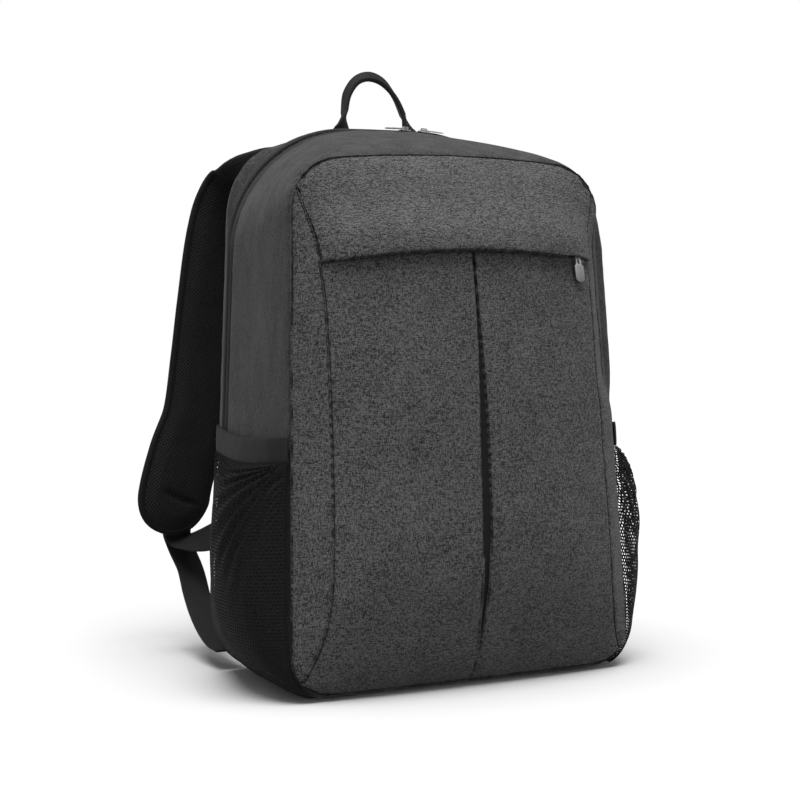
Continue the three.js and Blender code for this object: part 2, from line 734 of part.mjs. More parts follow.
// The free end that hangs from the buckle. reach, drop, shift: shares of the named sizes;
// turn: how far its width has turned from level to upright
const tailRows = [
  [0.000, 0.00, 0.00, 0.00],
  [0.000, 0.30, 0.00, 0.00],
  [0.010, 0.60, 0.00, 0.05],
  [0.080, 0.85, 0.06, 0.25],
  [0.220, 0.80, 0.25, 0.45],
  [0.450, 0.50, 0.50, 0.70],
  [0.720, -0.10, 0.78, 0.90],
  [1.000, -0.75, 1.00, 1.00],
];

function addStraps() {
  const rearY = padEndY() + strapThickness / 2 + seamGap;
  const buckleTop = strapFoot + strapEndWidth / 2 - buckleMargin;
  const buckleFoot = buckleTop - buckleHeight;
  const strandTop = buckleFoot - 2 * seamGap;
  const buckleX = strapInset + strapSplay - buckleInset;
  const strandGap = buckleThickness - webThickness;
  const webFootX = buckleX + webSlant / 2 - webWidth / 2;
  const webEndY = backPoint(webFootX / (baseWidth / 2), 0.05).y + seamGap;
  for (const side of [-1, 1]) {
    const name = side < 0 ? 'left' : 'right';
    addPiece(`strap_${name}`, bandGeometry(strapStations(side)), blackCloth);

    const width = webWidth + 2 * buckleMargin;
    const frame = new THREE.Shape();
    frame.moveTo(-width / 2, 0).lineTo(width / 2, 0).lineTo(width / 2, buckleHeight);
    frame.lineTo(-width / 2, buckleHeight).closePath();
    for (const share of [0.2, 0.62]) {
      const slot = new THREE.Path();
      const low = buckleHeight * share;
      slot.moveTo(-webWidth / 2, low).lineTo(-webWidth / 2, low + buckleSlot);
      slot.lineTo(webWidth / 2, low + buckleSlot).lineTo(webWidth / 2, low).closePath();
      frame.holes.push(slot);
    }
    const buckle = addPiece(`buckle_${name}`, new THREE.ExtrudeGeometry(frame,
      { depth: buckleThickness, bevelEnabled: false }), blackPlastic);
    buckle.rotation.x = Math.PI / 2;
    buckle.position.set(side * buckleX, rearY + buckleThickness, buckleFoot);

    const loop = addPiece(`buckle_loop_${name}`,
      new THREE.BoxGeometry(webWidth, webThickness, loopLength), blackWeb);
    loop.position.set(side * buckleX, rearY + webThickness / 2,
      buckleTop + seamGap + loopLength / 2);

    const webTopY = rearY + buckleThickness - webThickness / 2;
    addPiece(`lower_web_${name}`, bandGeometry(stationsThrough(webRows,
      ([reach, drop, slant]) => ({
        centre: at(side * (buckleX - webSlant / 2 + webSlant * slant),
          lerp(webTopY, webEndY, reach), strandTop - webDrop * drop),
        across: at(1, 0, 0),
        width: webWidth,
        thickness: webThickness,
      }), 18)), blackWeb);

    const tailTopY = webTopY - strandGap;
    addPiece(`tail_${name}`, bandGeometry(stationsThrough(tailRows,
      ([reach, drop, shift, turn]) => ({
        centre: at(side * (buckleX - tailShift * shift),
          tailTopY - tailLength * reach, strandTop - tailDrop * drop),
        across: at(side * -(1 - turn), 0, turn),
        width: webWidth,
        thickness: webThickness,
      }), 12)), blackWeb);
  }
}

// The handle's loop from the left foot to the right one. along: share of handleSpan from the
// middle; rise: share of handleRise; turn: how far its width has turned from across to
// fore-and-aft; fold: how far the webbing is folded on itself
const handleRows = [
  [-0.50, 0.00, 0.0, 0.0],
  [-0.50, 0.03, 0.0, 0.0],
  [-0.47, 0.16, 0.5, 0.5],
  [-0.43, 0.40, 0.9, 1.0],
  [-0.36, 0.70, 1.0, 1.0],
  [-0.20, 0.93, 0.9, 1.0],
  [-0.02, 1.00, 0.8, 1.0],
  [0.16, 0.93, 0.8, 1.0],
  [0.32, 0.70, 0.9, 1.0],
  [0.42, 0.40, 0.9, 1.0],
  [0.47, 0.16, 0.5, 0.5],
  [0.50, 0.03, 0.0, 0.0],
  [0.50, 0.00, 0.0, 0.0],
];

function addHandle() {
  const footDepth = 0.97;
  const footFront = footDepth - handleThickness / 2 / bodyDepth;
  const footInside = (handleSpan - handleWidth) / 2;
  const [before, after] = backDepths.map((depth) => wallPoint(wayOver(footInside, depth), depth));
  const foot = before.lerp(after, (footFront - backDepths[0]) / (backDepths[1] - backDepths[0]));
  addPiece('handle', bandGeometry(stationsThrough(handleRows, ([along, rise, turn, fold]) => ({
    centre: at(handleSpan * along, depthToY(footDepth, foot.z) + handleBack * rise,
      foot.z + seamGap + handleRise * rise),
    across: at(1 - turn, turn * 0.5, turn * 0.6 * (1 - Math.abs(along) * 2)),
    width: lerp(handleWidth, handleWidth / 2, fold),
    thickness: lerp(handleThickness, handleThickness * handleFold, fold),
  }), 30)), blackWeb);
}

// Closed geometry to a solid and back, to join and cut with.
function toSolid(geometry) {
  const bare = geometry.clone();
  bare.deleteAttribute('normal');
  bare.deleteAttribute('uv');
  const merged = mergeVertices(bare, 1e-4);
  return new wasm.Manifold(new wasm.Mesh({
    numProp: 3,
    vertProperties: new Float32Array(merged.attributes.position.array),
    triVerts: new Uint32Array(merged.index.array),
  }));
}

function toGeometry(solid) {
  const mesh = solid.getMesh();
  const geometry = new THREE.BufferGeometry();
  geometry.setAttribute('position', new THREE.Float32BufferAttribute(mesh.vertProperties, 3));
  geometry.setIndex(new THREE.Uint32BufferAttribute(mesh.triVerts, 1));
  return geometry;
}

// A slider lies in the XY plane with its length along X and its top up. Its bridge holds the
// cross bar of the pull tab, whose axis is Y at the height pinHeight.
const bridgeHole = bridgeHeight - bridgeBar;
const pinHeight = sliderHeight + bridgeHole / 2;

function sliderGeometry() {
  const plate = new THREE.Shape();
  const nose = sliderWidth * 0.3;
  plate.moveTo(-sliderLength / 2, -nose).lineTo(0, -sliderWidth / 2);
  plate.lineTo(sliderLength / 2, -sliderWidth / 2).lineTo(sliderLength / 2, sliderWidth / 2);
  plate.lineTo(0, sliderWidth / 2).lineTo(-sliderLength / 2, nose).closePath();
  const body = new THREE.ExtrudeGeometry(plate, { depth: sliderHeight, bevelEnabled: false });

  const arch = new THREE.Shape();
  const half = bridgeLength / 2;
  const shoulder = bridgeBar * 0.6;
  const sunk = -sliderHeight / 2;
  arch.moveTo(-half, sunk).lineTo(half, sunk).lineTo(half, bridgeHeight - shoulder);
  arch.lineTo(half - shoulder, bridgeHeight).lineTo(shoulder - half, bridgeHeight);
  arch.lineTo(-half, bridgeHeight - shoulder).closePath();
  const hole = new THREE.Path();
  const inside = half - bridgeBar;
  hole.moveTo(-inside, 0).lineTo(-inside, bridgeHole).lineTo(inside, bridgeHole);
  hole.lineTo(inside, 0).closePath();
  arch.holes.push(hole);
  const bridge = new THREE.ExtrudeGeometry(arch, { depth: bridgeWidth, bevelEnabled: false });
  bridge.rotateX(Math.PI / 2).translate(0, bridgeWidth / 2, sliderHeight);
  return toGeometry(toSolid(body).add(toSolid(bridge)));
}

// The tab lies along +X from its cross bar, whose axis is the Y axis.
function tabGeometry() {
  const bar = tabThickness / 2;
  const cornerReach = Math.hypot(bridgeLength / 2, bridgeHeight - bridgeHole / 2);
  const eyeEnd = cornerReach + 2 * seamGap;
  const eyeHalf = bridgeWidth / 2 + seamGap;
  const outline = new THREE.Shape();
  const end = tabLength - tabWidth / 2;
  const bend = eyeEnd + 2 * seamGap;
  outline.moveTo(-bar, -tabEyeWidth / 2).lineTo(eyeEnd, -tabEyeWidth / 2);
  outline.lineTo(bend + tabThickness, -tabWidth / 2).lineTo(end, -tabWidth / 2);
  for (const degrees of [60, 30, 0, -30, -60]) {
    const angle = -degrees * Math.PI / 180;
    outline.lineTo(end + tabWidth / 2 * Math.cos(angle), tabWidth / 2 * Math.sin(angle));
  }
  outline.lineTo(end, tabWidth / 2).lineTo(bend + tabThickness, tabWidth / 2);
  outline.lineTo(eyeEnd, tabEyeWidth / 2).lineTo(-bar, tabEyeWidth / 2).closePath();
  const eye = new THREE.Path();
  eye.moveTo(bar, -eyeHalf).lineTo(bar, eyeHalf).lineTo(eyeEnd, eyeHalf);
  eye.lineTo(eyeEnd, -eyeHalf).closePath();
  outline.holes.push(eye);
  const tab = new THREE.ExtrudeGeometry(outline, { depth: tabThickness, bevelEnabled: false });
  return tab.translate(0, 0, -bar);
}

function addSlider(name, tabName, place, along, up) {
  const group = new THREE.Group();
  group.matrixAutoUpdate = false;
  group.matrix.makeBasis(along, up.clone().cross(along), up).setPosition(place);
  bag.add(group);
  addPiece(name, sliderGeometry(), greyMetal, group);
  const tab = addPiece(tabName, tabGeometry(), greyMetal, group);
  tab.position.z = pinHeight;
}

function addSliders() {
  const onZip = (x) => {
    const way = wayOver(x, zipAt);
    return { place: wallPoint(way, zipAt), up: wallNormal(way, zipAt) };
  };
  for (const [x, name, toward] of [[leftSliderAt, 'left', -1], [rightSliderAt, 'right', 1]]) {
    const { place, up } = onZip(x);
    const along = at(toward, 0, 0);
    along.addScaledVector(up, -along.dot(up)).normalize();
    addSlider(`slider_${name}`, `pull_tab_${name}`, place.addScaledVector(up, seamGap), along, up);
  }
  const u = foldAt(frontShare(0, hemHeight)) - frontTabInset / outlineAt(0).half(hemHeight);
  const z = hemZ(u) - frontTabBelowHem;
  const share = frontShare(u, z);
  const panel = frontPoint(u, share);
  const out = frontNormal(u, share);
  const down = frontPoint(u, share + NUDGE).sub(panel).negate();
  down.addScaledVector(out, -down.dot(out)).normalize();
  panel.addScaledVector(out, 1.5 * seamGap);
  addSlider('front_slider', 'front_pull_tab', panel, down, out);
}

addFront();
addWall();
addBack();
addPockets();
addStraps();
addHandle();
addSliders();

export default bag;
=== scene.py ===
"""Laptop backpack: the visible pieces and their finishes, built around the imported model.

Metres, +Z up. The front faces -Y and the shoulder straps hang on the +Y side.
"""

import math

import bmesh
import bpy
import numpy as np
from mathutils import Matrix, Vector, kdtree, noise


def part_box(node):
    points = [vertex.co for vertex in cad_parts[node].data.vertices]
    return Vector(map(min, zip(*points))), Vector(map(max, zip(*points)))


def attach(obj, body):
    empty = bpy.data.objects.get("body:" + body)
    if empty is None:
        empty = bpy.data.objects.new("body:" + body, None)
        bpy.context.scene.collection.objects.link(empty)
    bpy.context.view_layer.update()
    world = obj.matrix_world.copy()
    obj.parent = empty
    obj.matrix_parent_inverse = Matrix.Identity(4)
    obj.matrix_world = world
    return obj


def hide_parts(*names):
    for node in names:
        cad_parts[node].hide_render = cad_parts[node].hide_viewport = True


bl_info = {
    "name": "Laptop Backpack",
    "version": (1, 0, 0),
    "blender": (4, 5, 0),
    "location": "View3D > Sidebar > Backpack",
    "description": "Builds a laptop backpack's cloth, net, zips, straps and fittings",
    "category": "Object",
}

MM = 0.001
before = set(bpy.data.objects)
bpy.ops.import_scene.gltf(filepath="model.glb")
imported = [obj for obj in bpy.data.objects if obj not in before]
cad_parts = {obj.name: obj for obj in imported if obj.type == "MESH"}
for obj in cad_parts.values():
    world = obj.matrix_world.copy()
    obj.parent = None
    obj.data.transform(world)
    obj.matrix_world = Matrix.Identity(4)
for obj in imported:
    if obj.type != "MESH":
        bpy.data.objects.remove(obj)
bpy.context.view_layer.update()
BAG = "bag"

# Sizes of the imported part, in metres
BASE_WIDTH = 316 * MM
SHOULDER_DRAW = 18.3 * MM
BODY_HEIGHT = 444 * MM
BODY_DEPTH = 138 * MM
FRONT_SEAM_AT = -60 * MM
FRONT_LEAN = 0.075
LEAN_HEIGHT = 202 * MM
TOP_CROWN = 22 * MM
SHOULDER_ACROSS = 120 * MM
SHOULDER_DOWN = 105 * MM
FOOT_RADIUS = 52 * MM
SEAM_LIFT = 4.5 * MM
ZIP_AT = 0.86
ZIP_WIDTH = 6.4 * MM
ZIP_FOOT = 118 * MM
POCKET_HEIGHT = 203 * MM
POCKET_DIP = 5 * MM
ELASTIC_WIDTH = 20 * MM
ELASTIC_WALL = 1.6 * MM
NET_BULGE = 34 * MM
MOUTH_BULGE = 9 * MM
NET_FOOT = 5 * MM
NET_SEAT = 0.3 * MM
SEAM_GAP = 0.3 * MM
STRAP_WIDTH = 62 * MM
STRAP_END_WIDTH = 68 * MM
STRAP_THICKNESS = 11 * MM
STRAP_INSET = 66 * MM
STRAP_HEIGHT = 427 * MM
STRAP_REACH = 118 * MM
STRAP_DROP = 329 * MM
STRAP_SPLAY = 70 * MM
WEB_WIDTH = 25 * MM
WEB_THICKNESS = 1.6 * MM
WEB_DROP = 88 * MM
WEB_SLANT = 15 * MM
TAIL_LENGTH = 75 * MM
TAIL_DROP = 12 * MM
TAIL_SHIFT = 27 * MM
BUCKLE_HEIGHT = 24 * MM
BUCKLE_THICKNESS = 6 * MM
BUCKLE_MARGIN = 4 * MM
BUCKLE_INSET = 7 * MM
LOOP_LENGTH = 26 * MM
HANDLE_SPAN = 66 * MM
HANDLE_RISE = 52 * MM
HANDLE_BACK = 11 * MM
HANDLE_WIDTH = 20 * MM
HANDLE_THICKNESS = 2 * MM
HANDLE_FOLD = 2.2
HANDLE_DEPTH = 0.97
SIDES = ((-1, "left"), (1, "right"))

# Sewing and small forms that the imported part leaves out
ZIP_LAP = 1.6 * MM  # the zip's tape on the cloth behind it
ZIP_TOOTH = 1.65 * MM
ZIP_COIL = 2.1 * MM
POCKET_SPAN = (0.008, 0.99)  # the pockets' ends, as shares of the depth
NET_CELL = 3.0 * MM
NET_HOLE = 0.60  # share of a mesh's width that is open
NET_YARN = 0.5 * MM
CORNER_PITCH = 6 * MM  # tight folds at the front seam's upper corners
CORNER_REACH = 17 * MM
CORNER_FOLD = 2.4 * MM
HINGE_CLEAR = (14 * MM, 34 * MM)  # flat cloth round the front tab's hinge
HEM_LIFT = 1.8 * MM  # the hem over the front tab
ROLL_FOOT = (208 * MM, 250 * MM)  # heights between which the right seam's roll begins
ROLL_TOP = (345 * MM, 385 * MM)  # and ends
ROLL_DRAW = 7.5 * MM
ROLL_SWELL = 4.2 * MM
STRAP_BEAD = 2.9 * MM
CREASE_UP = 34 * MM  # from the strap's lower end
CREASE_DEPTH = 2.6 * MM
SHARP = math.radians(35)

# Stage
CAMERA_AT = (-0.82737, -1.39805, 0.32320)
CAMERA_TURN = math.radians(-30.011)
CAMERA_PITCH = math.radians(3.553)
FOCAL_LENGTH = 89.48
LIGHTS = (  # name, direction it comes from, strength, spread in degrees
    ("top light", (-0.08, -0.14, 1.0), 3.6, 50),
    ("front light", (-0.12, -1.0, 0.50), 0.28, 40),
)
SKY = (  # height from 0 below to 1 above, grey
    (0.0, 0.10), (0.46, 0.12), (0.485, 1.0), (0.58, 1.0), (0.61, 0.12), (1.0, 0.3))

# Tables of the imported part: shares of the sizes above
OUTLINE_ROWS = (
    # depth width foot  top    across  down   crown lean  round
    (0.00, 1.000, 1.0, 0.928, 0.330, 0.370, 0.36, 1.00, 0.56),
    (0.06, 1.008, 0.2, 0.936, 0.370, 0.410, 0.35, 0.90, 0.62),
    (0.16, 1.010, 0.0, 0.949, 0.470, 0.500, 0.29, 0.75, 0.73),
    (0.45, 1.008, 0.0, 0.976, 0.740, 0.760, 0.16, 0.40, 0.90),
    (0.75, 1.002, 0.0, 0.995, 0.950, 0.950, 0.07, 0.10, 0.97),
    (0.86, 1.000, 0.0, 1.000, 1.000, 1.000, 0.05, 0.00, 1.00),
    (0.95, 0.993, 0.0, 0.946, 0.360, 0.457, 1.00, 0.00, 1.00),
    (1.00, 0.968, 0.9, 0.937, 0.340, 0.440, 1.00, 0.00, 1.00),
)
NET_ROWS = (  # height, bulge
    (0.00, 0.03), (0.06, 0.20), (0.14, 0.42), (0.31, 0.78), (0.48, 0.95),
    (0.62, 1.00), (0.76, 0.96), (0.88, 0.82), (0.95, 0.60), (1.00, 0.30))
FULL_ROWS = (  # depth, share of the bulge
    (0.000, 0.00), (0.040, 0.45), (0.145, 0.90), (0.290, 1.00), (0.435, 0.96),
    (0.580, 0.76), (0.725, 0.46), (0.870, 0.17), (1.000, 0.00))
STRAP_ROWS = (
    # reach drop   splay  width
    (0.000, 0.000, 0.000, 0.0),
    (0.170, 0.000, 0.000, 0.0),
    (0.380, 0.005, 0.000, 0.0),
    (0.600, 0.013, 0.005, 0.0),
    (0.790, 0.030, 0.020, 0.0),
    (0.930, 0.064, 0.075, 0.0),
    (0.985, 0.122, 0.215, 0.0),
    (1.000, 0.205, 0.325, 0.0),
    (1.000, 0.385, 0.460, 0.0),
    (0.992, 0.540, 0.555, 0.2),
    (0.978, 0.690, 0.670, 0.4),
    (0.970, 0.790, 0.850, 0.8),
    (0.970, 0.900, 0.985, 1.0),
    (0.970, 1.000, 1.000, 1.0),
)
WEB_ROWS = (
    # reach drop   slant
    (0.000, 0.000, 0.50),
    (0.000, 0.050, 0.50),
    (0.035, 0.180, 0.35),
    (0.125, 0.400, 0.05),
    (0.310, 0.625, 0.33),
    (0.520, 0.795, 0.67),
    (0.730, 0.920, 0.93),
    (0.870, 0.980, 1.00),
    (1.000, 1.000, 1.00),
)
TAIL_ROWS = (
    # reach drop   shift turn
    (0.000, 0.00, 0.00, 0.00),
    (0.000, 0.30, 0.00, 0.00),
    (0.010, 0.60, 0.00, 0.05),
    (0.080, 0.85, 0.06, 0.25),
    (0.220, 0.80, 0.25, 0.45),
    (0.450, 0.50, 0.50, 0.70),
    (0.720, -0.10, 0.78, 0.90),
    (1.000, -0.75, 1.00, 1.00),
)
HANDLE_ROWS = (
    # along rise   turn  fold
    (-0.50, 0.00, 0.0, 0.0),
    (-0.50, 0.03, 0.0, 0.0),
    (-0.47, 0.16, 0.5, 0.5),
    (-0.43, 0.40, 0.9, 1.0),
    (-0.36, 0.70, 1.0, 1.0),
    (-0.20, 0.93, 0.9, 1.0),
    (-0.02, 1.00, 0.8, 1.0),
    (0.16, 0.93, 0.8, 1.0),
    (0.32, 0.70, 0.9, 1.0),
    (0.42, 0.40, 0.9, 1.0),
    (0.47, 0.16, 0.5, 0.5),
    (0.50, 0.03, 0.0, 0.0),
    (0.50, 0.00, 0.0, 0.0),
)


def length(name, description, default):
    return bpy.props.FloatProperty(
        name=name, description=description, default=default, unit="LENGTH")


def colour(name, description, default):
    return bpy.props.FloatVectorProperty(
        name=name, description=description, default=default, size=3, subtype="COLOR")


class BackpackSizes(bpy.types.PropertyGroup):
    """Sizes of the sewing and of the small parts"""

    seam_width: length(
        "Seam width", "Reach of the dip beside a seam", 2.1 * MM)
    seam_depth: length(
        "Seam depth", "How far the cloth dips into a seam", 1.0 * MM)
    pucker: length(
        "Pucker", "Height of the small waves along a seam", 0.45 * MM)
    pucker_pitch: length(
        "Pucker pitch", "Length of the small waves along a seam", 11 * MM)
    binding: length(
        "Binding width", "Tape round the shoulder straps", 5.5 * MM)
    slack: length(
        "Slack", "Height of the broad waves of the filled cloth", 1.3 * MM)


class BackpackColours(bpy.types.PropertyGroup):
    """Colours of the finishes"""

    melange_dark: colour(
        "Melange, dark yarn", "Darker yarn of the front cloth", (0.018, 0.018, 0.0185))
    melange_light: colour(
        "Melange, light yarn", "Lighter yarn of the front cloth", (0.155, 0.155, 0.157))
    plain_dark: colour(
        "Plain cloth, dark yarn", "Darker yarn of the side cloth", (0.014, 0.014, 0.0143))
    plain_light: colour(
        "Plain cloth, light yarn", "Lighter yarn of the side cloth", (0.070, 0.070, 0.071))
    black_cloth: colour(
        "Black cloth", "Padding, binding and lining", (0.012, 0.012, 0.0125))
    zip_tape: colour(
        "Zip", "Coil and tape of the main zip", (0.036, 0.036, 0.036))
    elastic: colour(
        "Elastic", "Bands along the pockets' mouths", (0.0125, 0.0125, 0.013))
    binding: colour(
        "Binding", "Tape round the shoulder straps", (0.012, 0.012, 0.012))
    net: colour(
        "Net", "Side pockets", (0.0075, 0.0075, 0.0075))
    webbing: colour(
        "Webbing", "Straps and handle", (0.010, 0.010, 0.010))
    plastic: colour(
        "Plastic", "Buckles", (0.010, 0.010, 0.010))
    metal: colour(
        "Metal", "Zip sliders and pull tabs", (0.46, 0.46, 0.47))
    floor: colour(
        "Floor", "Pale studio floor", (0.755, 0.755, 0.755))


# Shader building


class Value:
    """A number in a shader. Working with it adds Math nodes."""

    def __init__(self, finish, socket):
        self.finish = finish
        self.socket = socket

    def _math(self, operation, first, second=0.5):
        node = self.finish.node(
            "ShaderNodeMath", {"operation": operation}, {0: first, 1: second})
        return Value(self.finish, node.outputs[0])

    def __add__(self, other):
        return self._math("ADD", self, other)

    __radd__ = __add__

    def __sub__(self, other):
        return self._math("SUBTRACT", self, other)

    def __rsub__(self, other):
        return self._math("SUBTRACT", other, self)

    def __mul__(self, other):
        return self._math("MULTIPLY", self, other)

    __rmul__ = __mul__

    def __truediv__(self, other):
        return self._math("DIVIDE", self, other)

    def wave(self, pitch):
        """Sine with one turn in each pitch."""
        return self._math("SINE", self * (2 * math.pi / pitch))

    def fraction(self):
        return self._math("FRACT", self)

    def size(self):
        return self._math("ABSOLUTE", self)

    def smaller(self, other):
        return self._math("MINIMUM", self, other)

    def step(self, low, high):
        """0 below low and 1 above high, with a smooth change between."""
        node = self.finish.node(
            "ShaderNodeMapRange", {"interpolation_type": "SMOOTHSTEP"},
            {"Value": self, "From Min": low, "From Max": high})
        return Value(self.finish, node.outputs["Result"])


class Finish:
    """A procedural material and the nodes in it."""

    def __init__(self, name, roughness=0.9, metallic=0.0, sheen=0.0, gloss=0.25):
        self.material = bpy.data.materials.new(name)
        self.material.use_nodes = True
        self.tree = self.material.node_tree
        self.tree.nodes.clear()
        self.shader = self.node("ShaderNodeBsdfPrincipled", {}, {
            "Roughness": roughness, "Metallic": metallic, "Sheen Weight": sheen,
            "Sheen Roughness": 0.5, "Specular IOR Level": gloss})
        output = self.node("ShaderNodeOutputMaterial")
        self.tree.links.new(self.shader.outputs[0], output.inputs["Surface"])
        self.place = self.node("ShaderNodeTexCoord").outputs["Object"]

    def node(self, kind, settings=None, inputs=None):
        node = self.tree.nodes.new(kind)
        for key, value in (settings or {}).items():
            setattr(node, key, value)
        for key, value in (inputs or {}).items():
            self.feed(node.inputs[key], value)
        return node

    def feed(self, socket, value):
        if isinstance(value, Value):
            value = value.socket
        if isinstance(value, bpy.types.NodeSocket):
            self.tree.links.new(value, socket)
        elif hasattr(value, "__len__") and socket.type == "RGBA" and len(value) == 3:
            socket.default_value = (*value, 1)
        else:
            socket.default_value = value

    def attribute(self, name):
        """Three-part attribute of the piece as a vector socket."""
        return self.node("ShaderNodeAttribute", {"attribute_name": name}).outputs["Vector"]

    def scaled(self, pitch):
        """Coordinates that run through 1 in each pitch, given in metres."""
        node = self.node("ShaderNodeVectorMath", {"operation": "MULTIPLY"}, {
            0: self.place, 1: tuple(1 / p for p in pitch)})
        return node.outputs[0]

    def noise(self, pitch, detail):
        pitch = pitch if hasattr(pitch, "__len__") else (pitch,) * 3
        node = self.node("ShaderNodeTexNoise", {}, {
            "Vector": self.scaled(pitch), "Scale": 1.0, "Detail": detail,
            "Roughness": 0.55})
        return Value(self, node.outputs["Fac"])

    def parts(self, place):
        node = self.node("ShaderNodeSeparateXYZ", {}, {0: place})
        return [Value(self, out) for out in node.outputs]

    def mixed(self, share, low, high):
        node = self.node("ShaderNodeMix", {"data_type": "RGBA"}, {
            "Factor": share, 6: low, 7: high})
        return node.outputs[2]

    def colour(self, value):
        self.feed(self.shader.inputs["Base Color"], value)

    def roughness(self, value):
        self.feed(self.shader.inputs["Roughness"], value)

    def relief(self, height, distance):
        node = self.node("ShaderNodeBump", {}, {
            "Height": height, "Distance": distance, "Strength": 1.0})
        self.feed(self.shader.inputs["Normal"], node.outputs[0])


def dimmed(shade, share):
    return tuple(c * share for c in shade)


def shades(middle, low=0.6, high=1.5):
    """A darker and a lighter shade of one colour."""
    return dimmed(middle, low), dimmed(middle, high)


def seamed_and_shaded(finish, tone, dark, light, above=None):
    """Colour between two yarns, darkened in the seams for their dark thread and as painted seam
    shadow, and below a height, if one is given, as painted shade.
    """
    away = finish.parts(finish.attribute("lay"))[0]
    clear_of_seam_and_painted_shade = away.step(0, 0.8 * MM)
    if above:
        # painted shade on the cloth behind the nets, below the given height
        clear_of_seam_and_painted_shade = clear_of_seam_and_painted_shade * finish.parts(finish.place)[2].step(above - 2 * MM, above)
    # dark seam thread with painted seam shadow, and painted shade below the given height
    finish.colour(finish.mixed(
        clear_of_seam_and_painted_shade, dimmed(dark, 0.3), finish.mixed(tone, dark, light)))


def melange(name, dark, light):
    """Two-tone weave with short lighter and darker yarns along the weft and the warp."""
    finish = Finish(name, roughness=0.88, sheen=0.05)
    weft = finish.noise((2.8 * MM, 2.8 * MM, 0.52 * MM), 1)
    warp = finish.noise((0.52 * MM, 0.52 * MM, 2.8 * MM), 1)
    long_weft = finish.noise((12 * MM, 12 * MM, 0.8 * MM), 1)
    grain = finish.noise(0.8 * MM, 1)
    cloud = finish.noise(30 * MM, 2)
    tone = weft * 0.36 + warp * 0.40 + long_weft * 0.10 + grain * 0.14
    share = (tone + (cloud - 0.5) * 0.05).step(0.425, 0.575)
    # the seams get dark thread and painted seam shadow
    seamed_and_shaded(finish, share, dark, light)
    finish.relief(tone, 0.5 * MM)
    return finish.material


def plain(name, dark, light):
    """Fine cloth with a faint speckle and soft upright shades, and painted shade on the walls
    behind the nets.
    """
    finish = Finish(name, roughness=0.8, sheen=0.1)
    grain = finish.noise((1.0 * MM, 1.0 * MM, 0.9 * MM), 2)
    streak = finish.noise((2.4 * MM, 2.4 * MM, 5 * MM), 2)
    cloud = finish.noise((14 * MM, 14 * MM, 40 * MM), 3)
    share = (grain * 0.55 + streak * 0.2 + cloud * 0.25).step(0.38, 0.62)
    # painted shade on the walls behind the nets, below the middle of the elastic
    seamed_and_shaded(finish, share, dark, light, POCKET_HEIGHT - ELASTIC_WIDTH / 2)
    finish.relief(grain, 0.4 * MM)
    return finish.material


def dull(name, shade, pitch=0.9 * MM):
    """One-colour cloth with a fine weave."""
    finish = Finish(name, roughness=0.85, sheen=0.05)
    grain = finish.noise(pitch, 2)
    finish.colour(finish.mixed(grain.step(0.3, 0.7), *shades(shade)))
    finish.relief(grain, 0.3 * MM)
    return finish.material


def thread(name, shade):
    """Fine yarn of the net."""
    finish = Finish(name, roughness=0.75, gloss=0.15)
    grain = finish.noise(0.35 * MM, 2)
    finish.colour(finish.mixed(grain.step(0.3, 0.7), *shades(shade)))
    finish.relief(grain, 0.1 * MM)
    return finish.material


def ribbed(name, shade):
    """Elastic with fine ribs along it."""
    finish = Finish(name, roughness=0.75, sheen=0.02)
    _, high, edge = finish.parts(finish.attribute("lay"))
    ribs = high.wave(1.3 * MM) * 0.5 + 0.5
    grain = finish.noise((6 * MM, 6 * MM, 0.5 * MM), 2)
    tone = ribs * 0.2 + grain * 0.8
    rim = 1 - edge.step(0.6 * MM, 1.6 * MM)
    finish.colour(finish.mixed((tone + rim * 0.3).smaller(1), *shades(shade, 0.7, 1.35)))
    finish.relief(tone + edge.step(1.2 * MM, 1.9 * MM) * 0.4, 0.3 * MM)
    return finish.material


def woven(name, shade):
    """Webbing: ribs across it in two rows of slanting floats, and a smooth edge."""
    finish = Finish(name, roughness=0.7, sheen=0.02)
    run, across, edge = finish.parts(finish.attribute("lay"))
    pitch, ribs = 1.1 * MM, 1.9 * MM
    slant = (across / ribs).fraction().size() - 0.5
    floats = (run + slant.size() * pitch).wave(pitch) * 0.5 + 0.5
    rows = across.wave(ribs).size()
    grain = finish.noise(0.5 * MM, 2)
    tone = floats * 0.4 + rows * 0.25 + grain * 0.35
    finish.colour(finish.mixed(tone.step(0.15, 0.9), *shades(shade)))
    finish.relief(tone * edge.step(0.4 * MM, 1.2 * MM), 0.35 * MM)
    return finish.material


def air_mesh(name, shade, binding, width):
    """Spacer mesh with small open meshes in slanting rows, painted dark as painted shade in the
    holes, and a plain woven binding.
    """
    finish = Finish(name, roughness=0.85, sheen=0.02, gloss=0.15)
    run, across, edge = finish.parts(finish.attribute("lay"))
    holes = (run + across).wave(6 * MM) * (run - across).wave(6 * MM)
    open_mesh = holes.size().step(0.2, 0.7)
    grain = finish.noise(0.5 * MM, 2)
    cloud = finish.noise(24 * MM, 2)
    bound = 1 - edge.step(width * 0.96, width * 1.02)
    mesh_tone = ((1 - open_mesh) * 0.75 + grain * 0.25) * (0.75 + cloud * 0.5)
    ribs = run.wave(1.2 * MM) * 0.2 + grain * 0.6 + 0.2
    # open meshes painted far darker than the threads: painted shade in the holes
    inside = finish.mixed(mesh_tone, *shades(shade, 0.12, 3.0))
    finish.colour(finish.mixed(bound, inside, finish.mixed(ribs, *shades(binding))))
    finish.relief((1 - bound) * (1 - open_mesh) + bound * ribs * 0.3, 0.6 * MM)
    return finish.material


def metal(name, shade):
    """Plated metal, rubbed unevenly."""
    finish = Finish(name, roughness=0.35, metallic=1.0)
    wear = finish.noise(1.5 * MM, 3)
    finish.colour(finish.mixed(wear, dimmed(shade, 0.85), shade))
    finish.roughness(wear * 0.2 + 0.25)
    return finish.material


